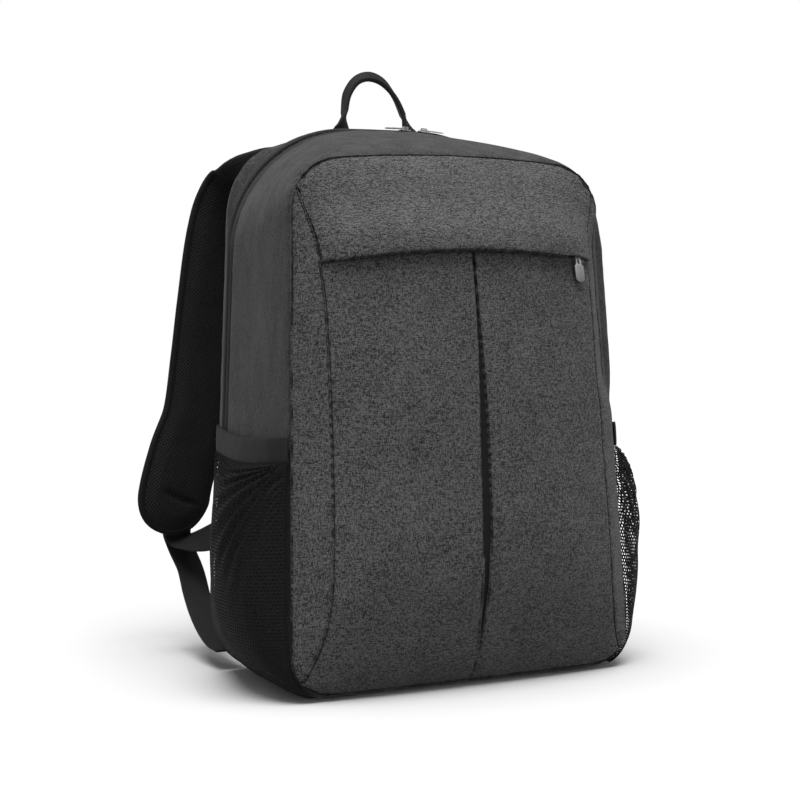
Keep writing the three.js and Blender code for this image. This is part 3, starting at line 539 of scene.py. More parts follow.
def moulded(name, shade):
    """Moulded plastic with a fine grain."""
    finish = Finish(name, roughness=0.5)
    grain = finish.noise(0.4 * MM, 1)
    finish.colour(finish.mixed(grain, dimmed(shade, 0.8), shade))
    finish.relief(grain, 0.05 * MM)
    return finish.material


# Mesh building


def smooth(low, high, value):
    share = np.clip((value - low) / (high - low), 0, 1)
    return share * share * (3 - 2 * share)


def points_of(piece, kind="co"):
    """The piece's points, or their normals with kind "normal"."""
    values = np.empty(len(piece.data.vertices) * 3)
    piece.data.vertices.foreach_get(kind, values)
    return values.reshape(-1, 3)


def place_points(piece, co):
    piece.data.vertices.foreach_set("co", co.ravel())
    piece.data.update()


def outward(piece):
    """Normals that all point away from the middle of the bag, on both faces of a cloth."""
    co = points_of(piece)
    middle = np.column_stack([
        np.clip(co[:, 0], -0.04, 0.04), np.full(len(co), 0.005),
        np.clip(co[:, 2], 0.12, 0.33)])
    n = points_of(piece, "normal")
    side = np.sign(np.einsum("ij,ij->i", n, co - middle))
    return n * np.where(side == 0, 1, side)[:, None]


def ripple(co, pitch, seed=0.0):
    """Smooth noise from -1 to 1 at each point."""
    shift = Vector((seed * 17.3, seed * 9.1, seed * 5.7))
    return np.array([noise.noise(Vector(p) / pitch + shift) for p in co])


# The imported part's forms


def curve_through(rows, column):
    """Smooth curve through a column of a table that never overshoots it."""
    places = np.array([row[0] for row in rows])
    values = np.array([row[column] for row in rows])
    rates = np.diff(values) / np.diff(places)
    before = np.concatenate([rates[:1], rates])
    after = np.concatenate([rates, rates[-1:]])
    both = before * after
    slopes = np.where(both > 0, 2 * both / np.where(both > 0, before + after, 1), 0)

    def at(place):
        p = np.clip(place, places[0], places[-1])
        i = np.clip(np.searchsorted(places, p) - 1, 0, len(rates) - 1)
        span = places[i + 1] - places[i]
        q = (p - places[i]) / span
        r = 1 - q
        return (values[i] * r * r * (1 + 2 * q) + values[i + 1] * q * q * (1 + 2 * r)
                + span * q * r * (slopes[i] * r - slopes[i + 1] * q))
    return at


(WIDTH_AT, FOOT_AT, TOP_AT, ACROSS_AT, DOWN_AT, CROWN_AT, LEAN_AT, ROUND_AT) = (
    curve_through(OUTLINE_ROWS, column) for column in range(1, 9))
NET_BULGE_AT = curve_through(NET_ROWS, 1)
NET_FULL_AT = curve_through(FULL_ROWS, 1)


class Outline:
    """Outline of the bag at each depth, a share from the front seam to the back seam."""

    def __init__(self, depth):
        self.depth = depth
        self.foot = SEAM_LIFT * FOOT_AT(depth)
        self.across = SHOULDER_ACROSS * ACROSS_AT(depth)
        self.down = SHOULDER_DOWN * DOWN_AT(depth)
        self.radius = FOOT_RADIUS * ROUND_AT(depth)
        self.low = self.foot + self.radius
        self.high = BODY_HEIGHT * TOP_AT(depth) - self.down
        self.crown = TOP_CROWN * CROWN_AT(depth)

    def half(self, z):
        return (BASE_WIDTH / 2 * WIDTH_AT(self.depth)
                - SHOULDER_DRAW * np.clip(z, self.low, self.high) / BODY_HEIGHT)

    def y(self, z):
        return (FRONT_SEAM_AT + BODY_DEPTH * self.depth
                + FRONT_LEAN * LEAN_AT(self.depth) * (z - LEAN_HEIGHT))


def wall(way, depth):
    """Points of the wall round the bag. way runs from 0 at the middle of the base up the left
    side to 5 at the middle of the top and on down the right side to 10."""
    way, depth = np.broadcast_arrays(np.asarray(way, float), np.asarray(depth, float))
    wrapped = np.where(way > 5, way - 10, way)
    side = np.where(wrapped >= 0, -1.0, 1.0)
    s = np.abs(wrapped)
    o = Outline(depth)
    turn = (s - 1) * math.pi / 2
    top_turn = np.clip(s - 3, 0, 1) * math.pi / 2
    inner = o.half(o.high) - o.across
    side_z = o.low + (o.high - o.low) * np.clip(s - 2, 0, 1)
    top_x = np.where(s > 4, inner * (5 - s), inner + o.across * np.cos(top_turn))
    top_z = (o.high + o.down * np.sin(top_turn)
             + o.crown * (1 - (top_x / o.half(o.high)) ** 2))
    x = np.select(
        [s <= 1, s <= 2, s <= 3],
        [s * (o.half(o.low) - o.radius),
         o.half(o.low) - o.radius * (1 - np.sin(turn)), o.half(side_z)], top_x)
    z = np.select([s <= 1, s <= 2, s <= 3],
                  [o.foot, o.low - o.radius * np.cos(turn), side_z], top_z)
    return np.stack([side * x, o.y(z), z], -1)


CORNERS = wall(np.array([3.45, 6.55]), 0.0)  # the front seam's upper corners


def wall_normal(way, depth):
    nudge = 0.02
    along = wall(way + nudge, depth) - wall(way - nudge, depth)
    back = wall(way, np.minimum(depth + nudge, 1)) - wall(way, np.maximum(depth - nudge, 0))
    return unit(np.cross(along, back))


def unit(v):
    return v / np.maximum(np.linalg.norm(v, axis=-1, keepdims=True), 1e-12)


def pocket(side, level, depth, foot, top, out):
    """Points and normals of a pocket's cloth, out metres off the wall."""
    level, depth = np.broadcast_arrays(level, depth)
    sag = POCKET_DIP * np.sin(math.pi * depth)
    low = foot - sag if foot > NET_FOOT else foot
    z = low + (top - sag - low) * level
    o = Outline(depth)
    way = np.where(
        z < o.low,
        1 + np.arccos(np.clip((o.low - z) / o.radius, 0, 1)) / (math.pi / 2),
        2 + (z - o.low) / (o.high - o.low))
    place = way if side < 0 else 10 - way
    rounded = wall_normal(place, np.clip(depth, 0.02, 0.98))
    share = (1 - smooth(1.2, 2, way))[..., None]
    normal = unit(np.array([side, 0.0, 0.0]) * (1 - share) + rounded * share)
    return wall(place, depth) + normal * (out(level, depth) + NET_SEAT)[..., None], normal


def spline(points, count):
    """Centripetal Catmull-Rom curve through the points, each span in even steps."""
    points = np.asarray(points, float)
    spans = len(points) - 1
    padded = np.vstack([2 * points[0] - points[1], points, 2 * points[-1] - points[-2]])
    place = np.linspace(0, spans, count + 1)
    i = np.minimum(place.astype(int), spans - 1)
    f = (place - i)[:, None]
    p0, p1, p2, p3 = (padded[i + k] for k in range(4))
    d0, d1, d2 = (np.sqrt(np.linalg.norm(b - a, axis=1))[:, None]
                  for a, b in ((p0, p1), (p1, p2), (p2, p3)))
    t1 = ((p1 - p0) / d0 - (p2 - p0) / (d0 + d1) + (p2 - p1) / d1) * d1
    t2 = ((p2 - p1) / d1 - (p3 - p1) / (d1 + d2) + (p3 - p2) / d2) * d1
    return (p1 + t1 * f + (3 * (p2 - p1) - 2 * t1 - t2) * f ** 2
            + (2 * (p1 - p2) + t1 + t2) * f ** 3)


class Path:
    """Line of a band: its middle, the directions across it and out of it, and its length."""

    def __init__(self, middle, across):
        self.middle = middle
        along = np.empty_like(middle)
        along[1:-1] = middle[2:] - middle[:-2]
        along[0], along[-1] = middle[1] - middle[0], middle[-1] - middle[-2]
        self.along = unit(along)
        across = across - self.along * (across * self.along).sum(1, keepdims=True)
        self.across = unit(across)
        self.out = np.cross(self.along, self.across)
        steps = np.linalg.norm(np.diff(middle, axis=0), axis=1)
        self.at = np.concatenate([[0], np.cumsum(steps)])
        self.length = self.at[-1]

    def read(self, values, place):
        values = np.asarray(values, float)
        if values.ndim == 1:
            return np.interp(place, self.at, values)
        return np.stack([np.interp(place, self.at, values[:, k]) for k in range(3)], -1)


def path_through(rows, middle, across, count):
    """Path from a table, and a reader of the table's columns along it."""
    rows = np.array(rows)
    line = spline([middle(row) for row in rows], count)
    place = np.linspace(0, len(rows) - 1, count + 1)
    columns = [np.interp(place, np.arange(len(rows)), rows[:, k])
               for k in range(rows.shape[1])]
    return Path(line, np.array([across(row) for row in zip(*columns)])), columns


# Closed meshes


def enter(piece, node, body=BAG):
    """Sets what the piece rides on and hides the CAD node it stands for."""
    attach(piece, body)
    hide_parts(node)


def link(name, mesh):
    piece = bpy.data.objects.new(name, mesh)
    bpy.context.scene.collection.objects.link(piece)
    return piece


def give_lay(mesh, lay):
    layer = mesh.attributes.new("lay", "FLOAT_VECTOR", "POINT")
    layer.data.foreach_set("vector", np.asarray(lay, np.float32).ravel())


def lay_of(along, across, edge, faces=2):
    """Vectors for the points of a grid, the same on each of its faces."""
    lay = np.stack(np.broadcast_arrays(along, across, edge), -1).reshape(-1, 3)
    return np.tile(lay, (faces, 1))


def new_piece(name, points, faces, material, node, lay=None):
    """Piece from points and faces, merged, closed and turned outwards. lay is a vector for
    each point that the finish reads: along, across and distance from the edge."""
    mesh = bpy.data.meshes.new(name)
    mesh.from_pydata([tuple(p) for p in points], [], faces)
    if lay is not None:
        give_lay(mesh, lay)
    build = bmesh.new()
    build.from_mesh(mesh)
    bmesh.ops.remove_doubles(build, verts=build.verts, dist=0.004 * MM)
    bmesh.ops.recalc_face_normals(build, faces=build.faces)
    build.to_mesh(mesh)
    build.free()
    mesh.materials.append(material)
    mesh.shade_smooth()
    piece = link(name, mesh)
    enter(piece, node)
    return piece


def sheet_mesh(outer, inner):
    """Points and quads of a closed sheet between two grids of points."""
    rows, columns = outer.shape[:2]
    ids = np.arange(rows * columns).reshape(rows, columns)
    back = ids + rows * columns
    faces = []
    for i in range(rows - 1):
        for j in range(columns - 1):
            faces.append((ids[i, j], ids[i, j + 1], ids[i + 1, j + 1], ids[i + 1, j]))
            faces.append((back[i, j], back[i + 1, j], back[i + 1, j + 1], back[i, j + 1]))
    edge = [*ids[0, :-1], *ids[:-1, -1], *ids[-1, :0:-1], *ids[:0:-1, 0]]
    shift = rows * columns
    for a, b in zip(edge, edge[1:] + edge[:1]):
        faces.append((b, a, a + shift, b + shift))
    return np.vstack([outer.reshape(-1, 3), inner.reshape(-1, 3)]), faces


def thicken(points, normals, faces, thickness):
    """Points and faces of an open net made into a closed one."""
    count = len(points)
    used = dict.fromkeys(
        (a, b) for face in faces for a, b in zip(face, face[1:] + face[:1]))
    made = list(faces) + [tuple(v + count for v in reversed(face)) for face in faces]
    for a, b in used:
        if (b, a) not in used:
            made.append((b, a, a + count, b + count))
    half = normals * thickness / 2
    return np.vstack([points + half, points - half]), made


def band(name, path, section, material, node, spacing=1.5 * MM):
    """Webbing swept along a path. section(place) gives the closed loop of (across, out)."""
    count = max(int(path.length / spacing), 8)
    places = np.linspace(0, path.length, count + 1)
    middle, across, out = (path.read(v, places) for v in
                           (path.middle, path.across, path.out))
    loops = np.array([section(place) for place in places])
    points = (middle[:, None] + loops[..., :1] * unit(across)[:, None]
              + loops[..., 1:] * unit(out)[:, None])
    sides = loops.shape[1]
    faces = []
    for i in range(count):
        for j in range(sides):
            a, b = i * sides + j, i * sides + (j + 1) % sides
            faces.append((a, b, b + sides, a + sides))
    faces.append(tuple(range(sides - 1, -1, -1)))
    faces.append(tuple(count * sides + j for j in range(sides)))
    width = np.abs(loops[..., 0]).max(1)[:, None]
    lay = lay_of(places[:, None], loops[..., 0], width - np.abs(loops[..., 0]), 1)
    new_piece(name, points.reshape(-1, 3), faces, material, node, lay)


def web_section(width, thickness, across=14):
    """Loop round woven webbing: flat, with rounded thinner edges."""
    turn = np.linspace(0, math.pi, across + 1)
    a = -np.cos(turn) * width / 2
    edge = width / 2 - np.abs(a)
    high = thickness / 2 * np.minimum(1, np.sqrt(np.clip(edge / (0.9 * MM), 0, 1)) * 0.92
                                      + 0.08 * smooth(1 * MM, 3 * MM, edge))
    upper = np.stack([a, high], -1)
    lower = np.stack([a, -high], -1)[-2:0:-1]
    return np.vstack([upper, lower])


def cloth_copy(name, node, material, levels=2):
    """Copy of a CAD node's cloth with its facets joined and rounded, and its sewn edges."""
    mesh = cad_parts[node].data.copy()
    mesh.name = name
    build = bmesh.new()
    build.from_mesh(mesh)
    bmesh.ops.remove_doubles(build, verts=build.verts, dist=0.02 * MM)
    bmesh.ops.join_triangles(
        build, faces=build.faces, cmp_seam=False, cmp_sharp=False,
        cmp_uvs=False, cmp_vcols=False, cmp_materials=False,
        angle_face_threshold=math.radians(35), angle_shape_threshold=math.radians(60))
    crease = build.edges.layers.float.get("crease_edge")
    if crease is None:
        crease = build.edges.layers.float.new("crease_edge")
    rim = []
    for edge in build.edges:
        if len(edge.link_faces) == 2 and edge.calc_face_angle() > math.radians(48):
            edge[crease] = 0.9
            a, b = (v.co for v in edge.verts)
            count = max(int((b - a).length / (1.5 * MM)), 1)
            rim.extend(a.lerp(b, i / count) for i in range(count + 1))
    build.to_mesh(mesh)
    build.free()
    mesh.materials.clear()
    mesh.materials.append(material)
    piece = link(name, mesh)
    subdivide(piece, levels)
    enter(piece, node)
    return piece, rim


def subdivide(piece, levels):
    only(piece)
    modifier = piece.modifiers.new("Subdivision", "SUBSURF")
    modifier.levels = modifier.render_levels = levels
    modifier.use_limit_surface = False
    bpy.ops.object.modifier_apply(modifier=modifier.name)
    piece.data.shade_smooth()


def only(piece):
    bpy.ops.object.select_all(action="DESELECT")
    piece.select_set(True)
    bpy.context.view_layer.objects.active = piece


def distance_to(points, co):
    """Distance of each point of co to the nearest of the points."""
    tree = kdtree.KDTree(len(points))
    for i, point in enumerate(points):
        tree.insert(point, i)
    tree.balance()
    return np.array([tree.find(Vector(p))[2] for p in co])


def sew(piece, rim, sizes, seed, seam=1.0, pucker=1.0, slack=1.0):
    """Dips the cloth into its seams, with small waves beside them and broad ones between."""
    co = points_of(piece)
    n = outward(piece)
    away = distance_to(rim, co)
    near = np.exp(-(away / sizes.seam_width) ** 2)
    line = np.exp(-(away / (sizes.seam_width * 0.5)) ** 2)
    beside = np.exp(-(away / (sizes.seam_width * 5)) ** 2)
    waves = ripple(co, sizes.pucker_pitch, seed)
    broad = ripple(co, 0.07, seed + 3) * smooth(0, 0.03, away)
    corners = np.minimum(*(np.linalg.norm(co - corner, axis=1) for corner in CORNERS))
    drawn = np.exp(-(corners / CORNER_REACH) ** 2)
    tight = ripple(co, CORNER_PITCH, seed + 7) * drawn * beside * CORNER_FOLD
    move = (-sizes.seam_depth * seam * (near * 0.7 + line * 0.6)
            + sizes.pucker * pucker * waves * beside * (1 - near * 0.5)
            + sizes.slack * slack * broad + tight)
    hinge = np.array(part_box("front_pull_tab")[1])
    clear = 1 - smooth(*HINGE_CLEAR, np.linalg.norm(co - hinge, axis=1))
    move = move * (1 - clear)
    lift = np.outer(clear, (0, 0, HEM_LIFT if piece.name == "yoke_cloth" else 0))
    place_points(piece, right_roll(co + n * move[:, None] + lift))
    give_lay(piece.data, np.repeat(away, 3))
    return away


def right_roll(co):
    """The wall swells over the front's right seam, which is drawn in beside it."""
    behind = co[:, 1] - Outline(0.0).y(co[:, 2])
    inside = Outline(np.clip(behind / BODY_DEPTH, 0, 1)).half(co[:, 2]) - co[:, 0]
    tall = smooth(*ROLL_FOOT, co[:, 2]) * (1 - smooth(*ROLL_TOP, co[:, 2]))
    drawn = ROLL_DRAW * np.exp(-(inside / (26 * MM)) ** 2) * (1 - smooth(0, 5 * MM, behind))
    swell = (ROLL_SWELL * smooth(0.5 * MM, 5 * MM, behind)
             * (1 - smooth(30 * MM, 100 * MM, behind)) * np.exp(-(inside / (12 * MM)) ** 2))
    moved = co.copy()
    moved[:, 0] += tall * (swell - drawn)
    return moved


def dress_node(node, material):
    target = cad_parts[node]
    if target.material_slots:
        target.material_slots[0].material = material
    else:
        target.data.materials.append(material)


def strap_root():
    """How far back the straps begin."""
    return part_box("strap_left")[0].y


def settings():
    scene = bpy.context.scene
    return scene.backpack_sizes, scene.backpack_colours


class BACKPACK_OT_front(bpy.types.Operator):
    """Front panels, the narrow panels beside them and the yoke"""

    bl_idname = "backpack.front"
    bl_label = "Front panels"

    def execute(self, context):
        sizes, colours = settings()
        cloth = melange("melange cloth", colours.melange_dark, colours.melange_light)
        for seed, node in enumerate(
                ["front_left", "front_right", "side_front_left", "side_front_right", "yoke"]):
            piece, rim = cloth_copy(f"{node}_cloth", node, cloth, 3)
            sew(piece, rim, sizes, seed)
        return {"FINISHED"}


class BACKPACK_OT_lining(bpy.types.Operator):
    """Black cloth behind the centre pleat and the front zip, dimmed further as painted shade in
    these recesses
    """

    bl_idname = "backpack.lining"
    bl_label = "Pleat insert and front zip"

    def execute(self, context):
        _, colours = settings()
        # black cloth dimmed to 0.4: painted shade in the pleat and under the hem
        cloth = dull("black cloth in painted shade", dimmed(colours.black_cloth, 0.4))
        for node in ("pleat_insert", "front_zip"):
            piece, _ = cloth_copy(f"{node}_cloth", node, cloth)
            place_points(piece, right_roll(points_of(piece)))
        return {"FINISHED"}


class BACKPACK_OT_walls(bpy.types.Operator):
    """Side walls with the base, before and behind the main zip"""

    bl_idname = "backpack.walls"
    bl_label = "Walls and base"

    def execute(self, context):
        sizes, colours = settings()
        cloth = plain("plain cloth", colours.plain_dark, colours.plain_light)
        # the base's cloth is the wall cloth dimmed to 0.4: painted shade where the base turns
        # under the bag
        painted_shade_base = plain("base cloth in painted shade", dimmed(colours.plain_dark, 0.4),
                      dimmed(colours.plain_light, 0.4))
        for seed, node in enumerate(["gusset_front", "gusset_back", "base"]):
            piece, rim = cloth_copy(
                f"{node}_cloth", node, painted_shade_base if node == "base" else cloth, 3)
            sew(piece, rim, sizes, seed + 10, slack=0.9, pucker=2.5 if node == "base" else 1.2)
            co = points_of(piece)
            co[:, 2] = np.maximum(co[:, 2], 0)
            place_points(piece, co)
        return {"FINISHED"}


class BACKPACK_OT_back(bpy.types.Operator):
    """Padded back"""

    bl_idname = "backpack.back"
    bl_label = "Back panel"

    def execute(self, context):
        sizes, colours = settings()
        cloth = air_mesh("back air mesh", colours.black_cloth, colours.binding, sizes.binding)
        piece, rim = cloth_copy("back_panel_pad", "back_panel", cloth)
        away = sew(piece, rim, sizes, 20, seam=1.4)
        co = points_of(piece)
        piece.data.attributes["lay"].data.foreach_set(
            "vector", np.column_stack([co[:, 2], co[:, 0], away]).astype(np.float32).ravel())
        return {"FINISHED"}


class BACKPACK_OT_zip(bpy.types.Operator):
    """Main zip"""

    bl_idname = "backpack.zip"
    bl_label = "Main zip"

    def execute(self, context):
        _, colours = settings()
        tape = dull("zip tape", colours.zip_tape, pitch=0.7 * MM)
        probe = np.linspace(1, 5, 4001)
        first = probe[np.argmax(wall(probe, ZIP_AT)[:, 2] > ZIP_FOOT)]
        way = np.linspace(first, 10 - first, 4001)
        line = wall(way, ZIP_AT)
        run = np.concatenate([[0], np.cumsum(np.linalg.norm(np.diff(line, axis=0), axis=1))])
        count = int(run[-1] / (0.55 * MM))
        way = np.interp(np.linspace(0, run[-1], count), run, way)[:, None]
        run = np.linspace(0, run[-1], count)[:, None]
        front_edge, back_edge = -ZIP_WIDTH / 2 + SEAM_GAP / 2, ZIP_WIDTH / 2 + ZIP_LAP
        across = np.linspace(front_edge, back_edge, 25)[None, :]
        depth = ZIP_AT + across / BODY_DEPTH
        ridge = smooth(ZIP_COIL, ZIP_COIL * 0.55, np.abs(across))
        phase = run / ZIP_TOOTH + np.where(across > 0, 0.5, 0) - np.abs(across) / (5 * MM)
        tooth = 0.45 + 0.55 * np.sqrt(np.abs(np.sin(math.pi * phase)))
        slit = np.exp(-(across / (0.25 * MM)) ** 2)
        lap = smooth(ZIP_COIL * 0.8, ZIP_COIL * 1.4, across)
        height = 0.75 * MM * ridge * tooth * (1 - 0.6 * slit) - 1.3 * MM
        height = height + lap * (2.1 * MM + 0.12 * MM * ripple(
            wall(way, ZIP_AT).reshape(-1, 3), 14 * MM, 5).reshape(-1, 1))
        height = height - 1.3 * MM * smooth(back_edge - 0.9 * MM, back_edge, across)
        normal = wall_normal(way, depth)
        surface = wall(way, depth)
        points, faces = sheet_mesh(surface + normal * height[..., None],
                                   surface - normal * 1.9 * MM)
        new_piece("main_zip_coil", points, faces, tape, "main_zip",
                  lay_of(run, across, height))
        return {"FINISHED"}


class BACKPACK_OT_pockets(bpy.types.Operator):
    """Net pockets with their elastic edges"""

    bl_idname = "backpack.pockets"
    bl_label = "Net pockets"

    def execute(self, context):
        _, colours = settings()
        knit = thread("net yarn", colours.net)
        elastic = ribbed("elastic", colours.elastic)
        for side, name in SIDES:
            self.net(side, name, knit)
            self.elastic(side, name, elastic)
        return {"FINISHED"}

    def net(self, side, name, material):
        """Net knitted in six-sided meshes, gathered towards its front upper corner."""
        top = POCKET_HEIGHT - ELASTIC_WIDTH - SEAM_GAP
        levels, depths = np.linspace(0, 1, 161), np.linspace(*POCKET_SPAN, 161)

        def bulge(level, depth):
            return NET_BULGE * NET_BULGE_AT(level) * NET_FULL_AT(depth) + 0.9 * MM

        place, _ = pocket(side, levels[:, None], depths[None, :], NET_FOOT, top, bulge)
        tall = np.concatenate([[0], np.cumsum(np.linalg.norm(
            np.diff(place[:, 50], axis=0), axis=1))])
        wide = np.concatenate([[0], np.cumsum(np.linalg.norm(
            np.diff(place[100], axis=0), axis=1))])
        height, width = tall[-1], wide[-1]
        columns, rows = round(width / NET_CELL), round(height / (NET_CELL * 0.9))
        cell, row = width / columns, height / rows
        corners = [(0, 2 / 3), (0.5, 1 / 3), (0.5, -1 / 3), (0, -2 / 3), (-0.5, -1 / 3),
                   (-0.5, 1 / 3)]
        ids, flat, faces = {}, [], []

        def point(u, v):
            key = (round(u / (0.02 * MM)), round(v / (0.02 * MM)))
            if key not in ids:
                ids[key] = len(flat)
                flat.append((u, v))
            return ids[key]

        for j in range(rows + 1):
            for i in range(columns + 1):
                middle = np.array([(i + (j % 2) / 2) * cell, j * row])
                if middle[0] > width + cell / 4:
                    continue
                outer = [(min(max(middle[0] + a * cell, 0), width),
                          min(max(middle[1] + b * row, 0), height)) for a, b in corners]
                heart = np.mean(outer, axis=0)
                inner = [tuple(heart + (np.array(p) - heart) * NET_HOLE) for p in outer]
                for k in range(6):
                    a, b = outer[k], outer[(k + 1) % 6]
                    if math.dist(a, b) < 0.05 * MM:
                        continue
                    c, d = inner[(k + 1) % 6], inner[k]
                    face = tuple(point(*p) for p in (a, b, c, d))
                    if len(set(face)) == 4:
                        faces.append(face)
        flat = np.array(flat)
        level = np.interp(flat[:, 1], tall, levels)
        depth = np.interp(flat[:, 0], wide, depths)
        points, normals = pocket(side, level, depth, NET_FOOT, top, bulge)
        drop, reach = height - flat[:, 1], flat[:, 0]
        far = np.hypot(drop, reach)
        fan = np.arctan2(drop, reach)
        folds = np.sin(fan * 34 + 1.5 * np.sin(fan * 7 + side))
        fan_high = (2.3 * MM * smooth(3 * MM, 30 * MM, far) * (1 - smooth(60 * MM, 130 * MM, far))
                    * smooth(0, 0.15, fan) * (1 - smooth(1.35, 1.57, fan)))
        upright = np.sin(reach / (1.15 * MM) + 2 * np.sin(reach / (9 * MM)))
        gather = 0.9 * MM * (1 - smooth(4 * MM, 34 * MM, drop)) * smooth(8 * MM, 20 * MM, reach)
        edge = smooth(0, 6 * MM, np.minimum(reach, width - reach)) * smooth(0, 3 * MM, drop)
        move = (fan_high * folds + gather * upright) * edge
        points = points + normals * move[:, None]
        points, faces = thicken(points, normals, faces, NET_YARN)
        piece = new_piece(f"net_{name}_knit", points, faces, material,
                          f"net_{name}")

    def elastic(self, side, name, material):
        """Elastic band along the pocket's mouth."""
        level, depth = np.linspace(0, 1, 15)[:, None], np.linspace(*POCKET_SPAN, 121)[None, :]

        def out(level, depth):
            waves = np.sin(depth * 47) * 0.2 + np.sin(depth * 23 + side) * 0.2
            edges = np.exp(-((level - 0.5) / 0.42) ** 8)
            return MOUTH_BULGE * NET_FULL_AT(depth) + MM * (
                1.0 + waves * (level - 0.5) * 0.9 + 0.45 * edges)

        place, normal = pocket(
            side, level, depth, POCKET_HEIGHT - ELASTIC_WIDTH, POCKET_HEIGHT, out)
        points, faces = sheet_mesh(place, place - normal * ELASTIC_WALL * 0.7)
        high = level * ELASTIC_WIDTH
        new_piece(f"elastic_{name}_band", points, faces, material,
                  f"elastic_{name}",
                  lay_of(depth * BODY_DEPTH, high, np.minimum(high, ELASTIC_WIDTH - high)))


class BACKPACK_OT_straps(bpy.types.Operator):
    """Padded shoulder straps"""

    bl_idname = "backpack.straps"
    bl_label = "Shoulder straps"

    def execute(self, context):
        sizes, colours = settings()
        cloth = air_mesh("air mesh", colours.black_cloth, colours.binding, sizes.binding)
        for side, name in SIDES:
            self.pad(side, name, sizes, cloth)
        return {"FINISHED"}

    def pad(self, side, name, sizes, material):
        """Padded strap with a bound edge and a round lower end."""
        start = strap_root()
        path, columns = path_through(
            STRAP_ROWS,
            lambda row: (side * (STRAP_INSET + STRAP_SPLAY * row[2]),
                         start + STRAP_REACH * row[0], STRAP_HEIGHT - STRAP_DROP * row[1]),
            lambda row: (1, 0, 0), 240)
        radius = STRAP_END_WIDTH / 2
        straight = path.length - radius
        turns = np.linspace(0, math.pi / 2, 26)[1:]
        places = np.concatenate([np.arange(0, straight, 1.7 * MM),
                                 straight + radius * np.sin(turns)])
        full = STRAP_WIDTH + (STRAP_END_WIDTH - STRAP_WIDTH) * path.read(columns[3], places)
        beyond = np.clip(places - straight, 0, radius)
        full = np.where(beyond > 0, 2 * np.sqrt(np.clip(radius ** 2 - beyond ** 2, 0, None)),
                        full)
        share = np.sin(np.linspace(-1, 1, 47) * math.pi / 2)
        a = share[None, :] * full[:, None] / 2
        edge = full[:, None] / 2 - np.abs(a)
        capped = radius - np.hypot(a, beyond[:, None])
        edge = np.where(beyond[:, None] > 0, np.clip(capped, 0, None), edge)
        bound = sizes.binding
        high = STRAP_BEAD * np.sqrt(
            np.clip(1 - (1 - np.clip(edge / STRAP_BEAD, 0, 1)) ** 2, 0, 1))
        groove = np.exp(-((edge - bound) / (0.9 * MM)) ** 2) * 0.8 * MM
        puff = (STRAP_THICKNESS / 2 - STRAP_BEAD) * smooth(bound, bound + 12 * MM, edge)
        middle, across, out = (path.read(v, places) for v in
                               (path.middle, path.across, path.out))
        grid = middle[:, None] + across[:, None] * a[..., None]
        soft = ripple(grid.reshape(-1, 3), 28 * MM, side).reshape(a.shape) * 0.5 * MM
        soft *= smooth(bound, bound * 3, edge)
        crease = CREASE_DEPTH * np.exp(
            -((places[:, None] - (path.length - CREASE_UP) + 0.3 * a * side) / (2.4 * MM)) ** 2
        ) * np.exp(-((a + side * 4 * MM) / (15 * MM)) ** 4)
        faces_bag = np.median(np.sign(-out[:, 1]))
        layers = []
        for face in (1, -1):
            inner = crease if face == faces_bag else crease * 0.3
            layers.append(grid + out[:, None] * (
                face * np.maximum(high + puff - groove - inner + soft, 0.02 * MM)
                * np.where(edge < 0.01 * MM, 0, 1))[..., None])
        points, quads = sheet_mesh(*layers)
        return new_piece(f"strap_{name}_pad", points, quads, material,
                         f"strap_{name}", lay_of(places[:, None], a, edge))


